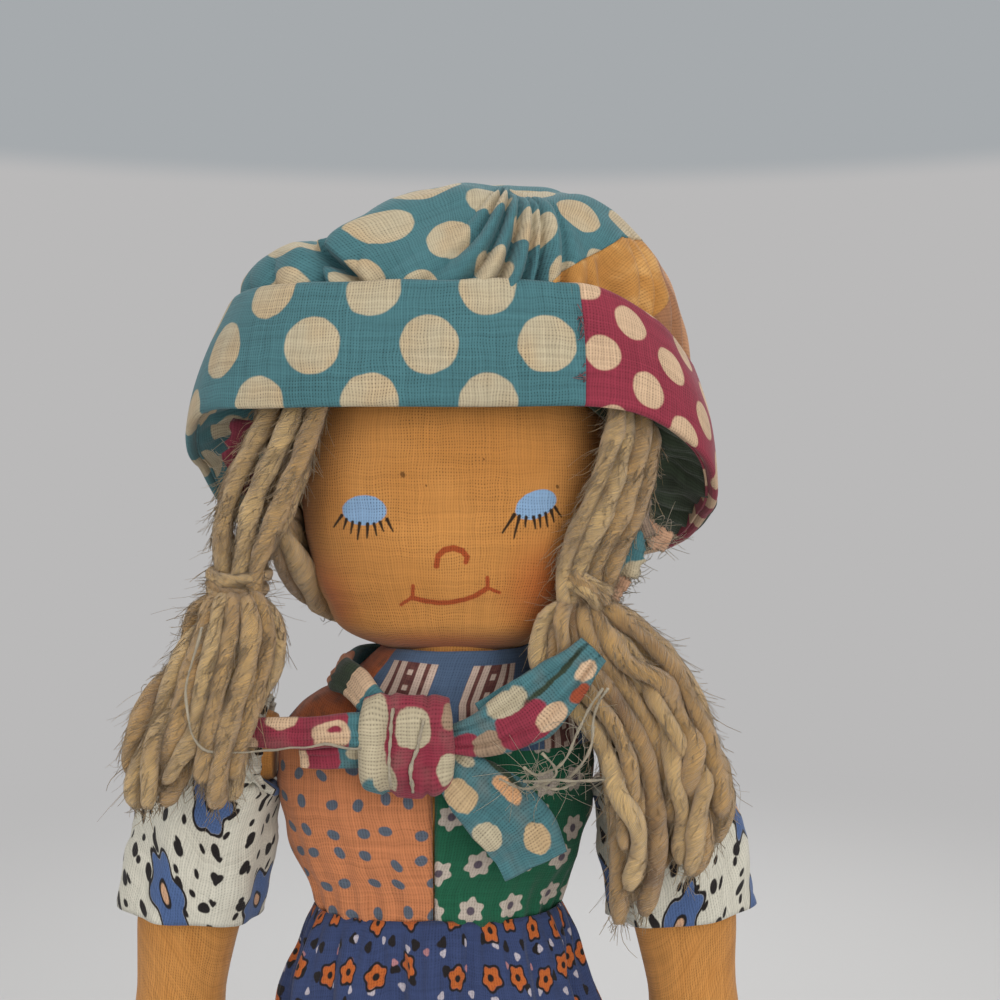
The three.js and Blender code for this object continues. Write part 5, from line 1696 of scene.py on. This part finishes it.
torso_surface = upright(TORSO_ROWS, TORSO_BASE, TORSO_HEIGHT, TORSO_WIDE, TORSO_DEEP,
                        TORSO_SQUARE)
torso = stuffed("torso_cloth", torso_surface, 48, 72, lump=0.3, lump_size=8, seed=1.7)
dress(torso, "torso", muslin, ["torso"])

NECK_RADIUS = 7
NECK_BALL = 7.6
NECK_TOP = 29.9
NECK_BASE = 16.4
NECK_STRAIGHT = 19.3


@for_grids
def neck_surface(turn, share):
    """A straight neck with the stuffed ball on which the head nods."""
    rise = NECK_BASE + share * (NECK_TOP - NECK_BASE)
    pivot = NECK_TOP - NECK_BALL
    ball = np.sqrt(np.clip(NECK_BALL**2 - (rise - pivot) ** 2, 0, None))
    x, y = ring(turn, 1, 1)
    size = np.where(rise < NECK_STRAIGHT, NECK_RADIUS, ball)
    return np.stack([HEAD_SIDE + x * size, y * size, rise], -1)


neck = stuffed("neck_cloth", neck_surface, 30, 48, lump=0.2, seed=5.1)
dress(neck, "neck", muslin, ["neck"])

HIP_ROWS = ((0, 0.99, 0.1), (0.06, 1, 0.8), (0.14, 1, 1), (0.86, 1, 1), (0.94, 1, 0.8),
            (1, 0.99, 0.1))
HIP_BASE, HIP_HEIGHT = -37.8, 6.6
HIP_WIDE, HIP_DEEP, HIP_SQUARE = 29, 1.2, 6.0
hip_surface = upright(HIP_ROWS, HIP_BASE, HIP_HEIGHT, HIP_WIDE, HIP_DEEP, HIP_SQUARE)
hip_strip = stuffed("hip_strip_cloth", hip_surface, 24, 72)
dress(hip_strip, "hips", muslin, ["hip_strip"])

LEG_ROWS = ((0, 0.72, 0.7), (0.1, 0.8, 0.78), (0.3, 0.84, 0.84), (0.6, 0.97, 0.98), (0.82, 1, 1),
            (0.93, 0.94, 0.72), (1, 0.84, 0.17))
LEG_WIDE, LEG_DEEP, LEG_LENGTH, LEG_SIDE = 14, 13, 57.5, 8.7
SHOE_TOP = 13.5
ANKLE = SHOE_TOP * 0.62
ANKLE_WIDE, ANKLE_DEEP = 0.8, 0.78
FOOT_RISE = ANKLE + 6
SHOE_SQUARE = 2.4
SHOE_WALL = 1.7
FOOT_WIDE, FOOT_LONG = 12, 20.6
FOOT_SHARE = 0.25


def foot_ring(turn, share, grow):
    """Ring of the foot, from its long sole in to the ankle, this much larger all round."""
    x, y = ring(turn, FOOT_WIDE / 2 + grow, FOOT_LONG / 2 + grow, SHOE_SQUARE)
    ankle_x, ankle_y = ring(turn, ANKLE_WIDE * LEG_WIDE / 2 + grow,
                            ANKLE_DEEP * LEG_DEEP / 2 + grow)
    ease = smooth(np.clip((share - 0.3) / 0.7, 0, 1))
    return x * (1 - ease) + ankle_x * ease, (y - 1) * (1 - ease) + ankle_y * ease


def leg_surface(side):
    """A foot, up to a quarter of the share, and the leg above it."""
    shaft = upright(LEG_ROWS, SOLE + ANKLE, LEG_LENGTH - ANKLE, LEG_WIDE, LEG_DEEP)

    @for_grids
    def surface(turn, share):
        foot = np.clip(share / FOOT_SHARE, 0, 1)
        x, y = foot_ring(turn, foot, 0)
        low = np.stack([x, y, SOLE + SHOE_WALL + (FOOT_RISE - SHOE_WALL) * foot], -1)
        join = (FOOT_RISE - ANKLE) / (LEG_LENGTH - ANKLE)
        above = np.clip((share - FOOT_SHARE) / (1 - FOOT_SHARE), 0, 1)
        high = shaft(turn, join + (1 - join) * above)
        return np.where((share < FOOT_SHARE)[..., None], low, high) + [side * LEG_SIDE, 0, 0]
    return surface


SHOE_SIDES = 72
SOLE_ROWS = 12


def shoe_cloth(name, side):
    """Felt slipper: flat sole, a rolled edge and a wall up to the opening."""
    turns = np.arange(SHOE_SIDES + 1) / SHOE_SIDES - 0.5
    rows = []
    for size in np.linspace(0.03, 1, SOLE_ROWS):
        x, y = foot_ring(turns, np.zeros_like(turns), SHOE_WALL)
        x, y = x * (size - 0.03), (y + 1) * (size - 0.03) - 1
        rows.append(np.stack([side * LEG_SIDE + x, y, SOLE + 0 * x], -1))
    for share in np.linspace(0.04, 1, 26):
        x, y = foot_ring(turns, np.full_like(turns, share * 0.94), SHOE_WALL)
        round_edge = 0.35 * math.exp(-share * 14)
        welt = 0.3 * math.exp(-((share - 0.13) / 0.035) ** 2)
        grow = 1 - round_edge / 10 + welt / 12
        x, y = x * grow, (y + 1) * grow - 1
        rows.append(np.stack([side * LEG_SIDE + x, y, SOLE + share * SHOE_TOP + 0 * x], -1))
    points = np.array(rows)
    lumps = ripple(closed(points), 6, 0.5, 2 + side)[SOLE_ROWS:]
    points[SOLE_ROWS:, :, 0] += lumps * np.sin(turns * FULL)
    points[SOLE_ROWS:, :, 1] -= lumps * np.cos(turns * FULL)
    uv = np.stack([run_of(points, 1), run_of(points, 0)], -1)
    piece = cloth_grid(name + "_shoe_felt", points[:, :-1], uv, wraps=True)
    mesh = piece.data
    work = bmesh.new()
    work.from_mesh(mesh)
    work.verts.ensure_lookup_table()
    work.faces.new([work.verts[k] for k in reversed(range(SHOE_SIDES))])
    work.to_mesh(mesh)
    work.free()
    mesh.shade_smooth()
    thicken(piece, FELT_CLOTH)
    dress(piece, name + "_leg", felt, [name + "_shoe"])


for side, name in ((1, "left"), (-1, "right")):
    leg = stuffed(name + "_leg_cloth", leg_surface(side), 80, 60, lump=0.35, seed=side * 2.3)
    dress(leg, name + "_leg", muslin, [name + "_leg"])
    shoe_cloth(name, side)


# Dress: two front halves and a back, a yoke with a collar, puffed sleeves, a gathered skirt

# How far the dress lies off the torso, the yoke too, and its free edges off their solids
DRESS_OFF, YOKE_OFF, EDGE_OFF = 1.5, 1.95, 0.9
dress_surface = moved_out(torso_surface, DRESS_OFF)
BODICE_LOW = (WAIST - 0.8 - TORSO_BASE) / TORSO_HEIGHT
BODICE_HIGH = (YOKE_BASE - TORSO_BASE) / TORSO_HEIGHT
SIDE_SEAM = 0.26
SEAM_GAP = 0.0005
BODICE_GATHERS = 31
BODICE_COLUMNS = 240


@for_grids
def bodice_surface(turn, share):
    """The bodice over the torso, gathered at the waist."""
    low = 1 - (share - BODICE_LOW) / (BODICE_HIGH - BODICE_LOW)
    wave = np.cos(turn * FULL * BODICE_GATHERS + 2 * np.sin(turn * FULL * 3))
    gather = 0.28 * wave * np.clip(low, 0, 1) ** 2
    gather = gather - 0.5 * np.clip((low - 0.93) / 0.07, 0, 1)
    return dress_surface(turn, share) + normals_of(torso_surface, turn, share) * gather[..., None]


for name, start, end, cloth, slot in (
        ("bodice_left", SEAM_GAP, SIDE_SEAM - SEAM_GAP, green_cloth, "green_print"),
        ("bodice_right", SEAM_GAP - SIDE_SEAM, -SEAM_GAP, orange_cloth, "orange_print"),
        ("bodice_back", SIDE_SEAM + SEAM_GAP, 1 - SIDE_SEAM - SEAM_GAP, maroon_cloth,
         "maroon_dots")):
    turns = np.linspace(start, end, int((end - start) * BODICE_COLUMNS))
    piece, points = panel(name + "_cloth", bodice_surface, turns,
                          np.linspace(BODICE_LOW, BODICE_HIGH, 36), tuck=0.5,
                          creases=((6.0, 0.7, 3.0), (3.0, 0.25, 8.0)))
    dress(piece, "torso", cloth, [name])

COLLAR_RADIUS = 8.2
COLLAR_TOP = 22.6
YOKE_START = (YOKE_BASE - 0.5 - TORSO_BASE) / TORSO_HEIGHT
YOKE_END = 0.985
COLLAR_START = 0.62
yoke_body = moved_out(torso_surface, YOKE_OFF)


@for_grids
def yoke_surface(turn, share):
    """The yoke on the shoulders, and from there the standing collar."""
    at = YOKE_START + (YOKE_END - YOKE_START) * np.minimum(share, COLLAR_START) / COLLAR_START
    rise = np.clip((share - COLLAR_START) / (1 - COLLAR_START), 0, 1)[..., None]
    x, y = ring(turn, COLLAR_RADIUS + EDGE_OFF, COLLAR_RADIUS + EDGE_OFF)
    collar = np.stack([HEAD_SIDE + x, y, COLLAR_TOP + 0 * x], -1)
    return yoke_body(turn, at) * (1 - rise) + collar * rise


yoke, points = panel("yoke_cloth", yoke_surface, np.arange(121) / 120 - 0.5, np.linspace(0, 1, 40),
                     wraps=True, creases=((5.0, 0.6, 1.0), (2.6, 0.2, 6.0)), from_top=True)
dress(yoke, "torso", yoke_cloth, ["yoke"])

SKIRT_TOP = WAIST + 0.1
SKIRT_LENGTH = 47
SKIRT_WIDE, SKIRT_DEEP = 51, 34
FOLD_COUNT, FOLD_DEPTH = 12, 1.7
SKIRT_GATHERS = 37
WAIST_RISE = 20.2


@for_grids
def skirt_surface(turn, share):
    """The skirt from its hem up to the waist, with deep folds and small gathers."""
    size = through(TORSO_ROWS, WAIST_RISE / TORSO_HEIGHT)
    fall = 1 - share
    x, y = ring(turn, size[0] * TORSO_WIDE / 2 + DRESS_OFF, size[1] * TORSO_DEEP / 2 + DRESS_OFF,
                TORSO_SQUARE)
    hem_x, hem_y = ring(turn, SKIRT_WIDE / 2 + EDGE_OFF, SKIRT_DEEP / 2 + EDGE_OFF)
    spread = np.clip(fall, 0, 1) ** 0.8
    x, y = x * (1 - spread) + hem_x * spread, y * (1 - spread) + hem_y * spread
    angle = turn * FULL + 0.12 * np.sin(turn * FULL * 5 + 1) * fall
    fold = np.cos(angle * FOLD_COUNT) + 0.35 * np.cos(angle * (FOLD_COUNT / 2 + 1) + 1)
    fine = np.cos(turn * FULL * SKIRT_GATHERS + 2.2 * np.sin(turn * FULL * 4))
    fine = 0.55 * fine * np.exp(-fall * 5)
    deep = FOLD_DEPTH * fold * np.minimum(1, fall * 2.5) + fine * np.clip(fall * 12, 0, 1)
    away = np.hypot(x, y)
    x, y = x * (1 + deep / away), y * (1 + deep / away)
    low = 0.8 * np.cos(turn * FULL * 3 + 0.6) * fall
    return np.stack([x, y, SKIRT_TOP - SKIRT_LENGTH * fall + low], -1)


shares = np.concatenate([[0.0, 0.004, 0.012, 0.03, 0.052, 0.056, 0.06], np.linspace(0.075, 1, 60)])
skirt, points = panel("skirt_cloth", skirt_surface, np.arange(321) / 320 - 0.5, shares, wraps=True,
                      creases=((8.0, 1.0, 2.0), (4.0, 0.3, 5.0)), gathered=True)
dress(skirt, None, navy_cloth, ["skirt"])
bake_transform(skirt)

ARM_ROWS = ((0, 0.62, 0.5), (0.12, 0.86, 0.84), (0.3, 1, 1), (0.6, 0.98, 0.98), (0.78, 0.84, 0.84),
            (0.9, 0.82, 0.8), (0.97, 0.6, 0.56), (1, 0.16, 0.14))
ARM_ROUTE = [(ARM_PLACE + ARM_SPREAD * out, 0, ARM_SEAM - ARM_LENGTH * down)
             for out, down in ((0, 0), (0.28, 0), (0.62, 0.15), (0.76, 0.33), (0.9, 0.65), (1, 1))]
arm_surface = swept(ARM_ROUTE, ARM_ROWS, ARM_WIDE, ARM_WIDE)


SLEEVE_START, SLEEVE_END = 0.03, 0.56
SLEEVE_GATHERS = 17


@for_grids
def sleeve_surface(turn, share):
    """The puffed sleeve over the upper arm, gathered at the shoulder."""
    at = SLEEVE_START + (SLEEVE_END - SLEEVE_START) * share
    puff = 0.5 * np.sin(np.clip(share, 0, 1) * math.pi)
    gather = np.cos(turn * FULL * SLEEVE_GATHERS + 1.5 * np.sin(turn * FULL * 3))
    gather = 0.4 * gather * np.exp(-share * 4.5) + 0.35 * np.cos(turn * FULL * 7 + 1) * share
    away = (1.45 + 1.1 * share**2 + puff + gather)[..., None]
    return arm_surface(turn, at) + normals_of(arm_surface, turn, at) * away


for side, name in ((1, "left"), (-1, "right")):
    limb = arm_surface if side == 1 else mirrored(arm_surface)
    arm = stuffed(name + "_arm_cloth", limb, 60, 48, lump=0.35, lump_size=8, seed=side * 4.1)
    dress(arm, name + "_arm", muslin, [name + "_arm"])
    over = sleeve_surface if side == 1 else mirrored(sleeve_surface)
    sleeve, points = panel(name + "_sleeve_cloth", over, np.arange(97) / 96 - 0.5,
                           np.linspace(0, 1, 44), wraps=True,
                           creases=((5.0, 0.8, 3.0 + side), (2.6, 0.25, 7.0)), gathered=True)
    dress(sleeve, name + "_arm", sleeve_cloth, [name + "_sleeve"])


# Neckerchief: one strip, round the neck and tied in front

ROLL_POWER = 2 / 3


def folded_strip(name, route, facing, widths, thicks, grooves, material, node, seed=0.0,
                 count=56, sides=56, threads=None):
    """A strip folded into a soft flat roll along a route, with lengthwise fold grooves."""
    line = path(route, count)
    along = unit(np.gradient(line, axis=0))
    t = np.linspace(0, 1, count)

    def spread(values):
        """Rows of values, spread evenly along the strip."""
        values = np.array(values, float)
        return np.stack([np.interp(t, np.linspace(0, 1, len(values)), values[:, k])
                         for k in range(values.shape[1])], -1)

    across = unit(np.cross(along, spread(facing)))
    out = np.cross(across, along)
    wide = spread([[v] for v in widths])
    thick = spread([[v] for v in thicks])
    angle = np.linspace(0, FULL, sides + 1)[None, :]
    s, c = np.sin(angle), np.cos(angle)
    v = np.sign(c) * np.abs(c) ** ROLL_POWER
    lift = np.sign(s) * np.abs(s) ** ROLL_POWER * thick / 2
    for place, width, depth in grooves:
        front = np.clip(s * 2, 0, 1) * np.minimum(thick, 1.6)
        lift = lift - depth * bump_at(v, place, width) * front
    ends = np.minimum(np.minimum(t, 1 - t) * 14, 1)[:, None] ** 0.5
    points = (line[:, None] + across[:, None] * (v * wide / 2)[..., None]
              + out[:, None] * (lift * (0.55 + 0.45 * ends))[..., None])
    shape = closed(points)
    bumps = ripple(shape, 3.6, 0.7, seed) + ripple(shape, 1.7, 0.2, seed + 3)
    points = points + out[:, None] * bumps[..., None] + across[:, None] * bumps[::-1, :, None] * 0.3
    run = np.linspace(0, run_along(line)[-1], count)
    flat = stacked(run[:, None], np.where(s >= 0, 1, -1) * (v * wide / 2))
    piece = cloth_grid(name, points[::-1, :-1], flat[::-1], wraps=True, closed_ends=True)
    dress(piece, "torso", material, [node] if node else ())
    threads(points) if threads else ()


def lie_on(points, line, lift):
    """A thread's line, moved so that it lies on the front of a piece of cloth."""
    flat = points.reshape(-1, 3)
    line = np.array(line, float)
    for spot in line:
        away = np.hypot(flat[:, 0] - spot[0], flat[:, 2] - spot[2])
        near = flat[away < max(away.min() * 1.3, 0.8)]
        spot[1] = near[:, 1].min() - lift
    return line


THREAD_POINTS = 44


def loose_threads(name, routes, seed, radius, on=None, frays=0):
    """Drawn threads: each follows a route, on a piece of cloth or free, and frays along it."""
    lines = []
    for k, route in enumerate(routes):
        line = shaken(path(route, THREAD_POINTS), 0.55, seed + k * 2.7, 3.0)
        lines.append(line if on is None else lie_on(on, line, radius * 0.8))
    radii = [radius * (1 + 0.25 * np.sin(np.arange(THREAD_POINTS) * 0.7 + k))
             for k in range(len(lines))]
    piece = yarns(name, lines, radii, sides=8, twist=1 / 2.4, lobe_depth=0.12)
    dress(piece, "torso", thread_cotton)
    if not frays:
        return [piece]
    random = np.random.default_rng(seed)
    roots = [lines[k % len(lines)][random.integers(4, 40)] for k in range(frays)]
    fine = hairs(name + "_frays", roots, random.normal(size=(frays, 3)) * [0.6, 0.2, 0.6],
                 random.uniform(0.8, 2.4, frays), 1.3, seed, radius=0.045, steps=9)
    return [piece, dress(fine, "torso", thread_cotton)]


def knot_threads(points):
    """Two stitches over the knot, and the long loose thread at its side."""
    stitches = loose_threads("knot_stitches", (
        ((-4.4, -17, 16.8), (-4.8, -17, 12.4), (-4.3, -17, 7.6)),
        ((-0.8, -17, 15.6), (-1.4, -17, 12.7), (-2.2, -17, 10.4), (-2.1, -17, 6.8)),
    ), 3, 0.2, on=points)
    return stitches + loose_threads("loose_thread", (
        ((-26.2, -19.4, 26.6), (-27.9, -20, 18), (-26.2, -20, 12.7), (-21.4, -18.4, 12),
         (-14, -17.6, 12.5), (-7.9, -17.2, 12.4)),
    ), 4, 0.14)


def band_threads(_points):
    """The band's frayed edge, drawn out in long loops above the tail."""
    return loose_threads("band_threads", (
        ((20, -18.6, 19.4), (17.4, -18.2, 15), (15.9, -18.4, 11.5), (14.2, -17.8, 9.8)),
        ((20.6, -18.6, 19.4), (19, -18, 16.5), (18.7, -18.6, 12.7), (17.4, -18.4, 10.2),
         (15.8, -17.9, 8.6)),
        ((10.8, -17.4, 8.4), (14, -18, 8.6), (15.9, -18.2, 8.7), (19.3, -18.2, 8.8),
         (21.9, -17.9, 8.5), (22.2, -17.6, 6.9)),
        ((8, -17, 8.6), (11.4, -17.5, 7.6), (14.6, -17.9, 9.4), (13, -17.8, 11.6)),
        ((14.2, -17.8, 9.8), (12.2, -17.7, 9.2), (10.6, -17.3, 9.9)),
        ((17, -18, 8.4), (14.8, -17.9, 7.5), (12.4, -17.6, 8.2)),
    ), 6, 0.17, frays=90)


folded_strip("bow_knot_cloth", [(-3, -12.8, 6.7), (-3, -14.6, 8.4), (-3, -15, 12),
                                (-3, -14.6, 15.6), (-3, -12.8, 17.3)],
             [(0, -1, -0.3), (0, -1, 0), (0, -1, 0.3)], (10.2, 11.2, 11.4, 11.2, 10.2),
             (3.2, 4.4, 4.6, 4.4, 3.2), ((-0.42, 0.1, 0.9), (0.1, 0.12, 0.15), (0.5, 0.1, 0.35)),
             knot_cloth, "bow_knot", 2.0, threads=knot_threads)
folded_strip("bow_loop_cloth", [(-8, -14.2, 13.9), (-12, -15, 13.8), (-17, -14.9, 13.6),
                                (-22.4, -14.2, 13.6)],
             [(0, -1, 0.15)], (4.2, 3.9, 3.7, 3.6), (3.0, 2.5, 2.1, 1.3),
             ((0.1, 0.25, 0.35), (-0.5, 0.2, 0.25)), loop_cloth, "bow_loop", 5.0)
folded_strip("bow_loop_under_cloth", [(-7.8, -13.6, 10.7), (-11, -14, 10.6), (-15.8, -13.6, 10.4)],
             [(0, -1, -0.15)], (3.2, 2.8, 2.2), (2.0, 1.8, 1.0), ((0.2, 0.3, 0.3),), loop_low_cloth,
             None, 6.0)
folded_strip("bow_band_cloth", [(2.2, -14.2, 12.6), (6.6, -15, 13.7), (11, -15.8, 16.2),
                                (15, -16.8, 19.6), (19, -17.8, 23.8)],
             [(0.1, -1, 0.2)], (3.4, 6.0, 8.0, 6.2, 3.8), (2.6, 3.0, 2.8, 2.2, 1.4),
             ((0.5, 0.14, 0.5), (-0.05, 0.12, 0.4), (-0.45, 0.14, 0.45)), band_cloth,
             "bow_band", 8.0, threads=band_threads)
folded_strip("bow_tail_cloth", [(1.8, -13.9, 9.6), (4.6, -14.8, 7.4), (8.2, -14.7, 4.2),
                                (11, -14.3, 0.8), (12.4, -14, -2.4)],
             [(0.1, -1, 0.1)], (4.8, 7.6, 9.2, 9.0, 8.2), (1.8, 1.8, 1.5, 1.2, 1.0),
             ((0.2, 0.16, 0.5), (-0.5, 0.2, 0.35)), tail_cloth, "bow_tail", 11.0)

# The strap follows a rounded square behind the neck, from one side of the knot to the other.
STRAP_POWER = 0.77
round_neck = np.linspace(0.14, 0.86, 13) * FULL
round_x, round_y = np.sin(round_neck), np.cos(round_neck)
NECK_LOOP = np.stack([
    1.8 - 14.0 * np.sign(round_x) * np.abs(round_x) ** STRAP_POWER,
    -1.6 - 12.2 * np.sign(round_y) * np.abs(round_y) ** STRAP_POWER,
    19.5 - 3.2 * np.clip(round_y, 0, 1) ** 4], -1)
strap_route = [(-5.8, -14, 15.6)] + NECK_LOOP.tolist() + [(6, -13.8, 15.4)]
strap_facing = [(x - 1.8, y + 1.6, 7.0) for x, y, _ in strap_route]
folded_strip("neck_strap_cloth", strap_route, strap_facing,
             (3.4, 4.6, 5.2, 5.2, 5.2, 4.6, 3.4), (1.6, 1.5, 1.5, 1.5),
             ((0.1, 0.2, 0.3), (-0.5, 0.2, 0.2)), strap_cloth, "neck_strap", 14.0,
             count=150, sides=36)
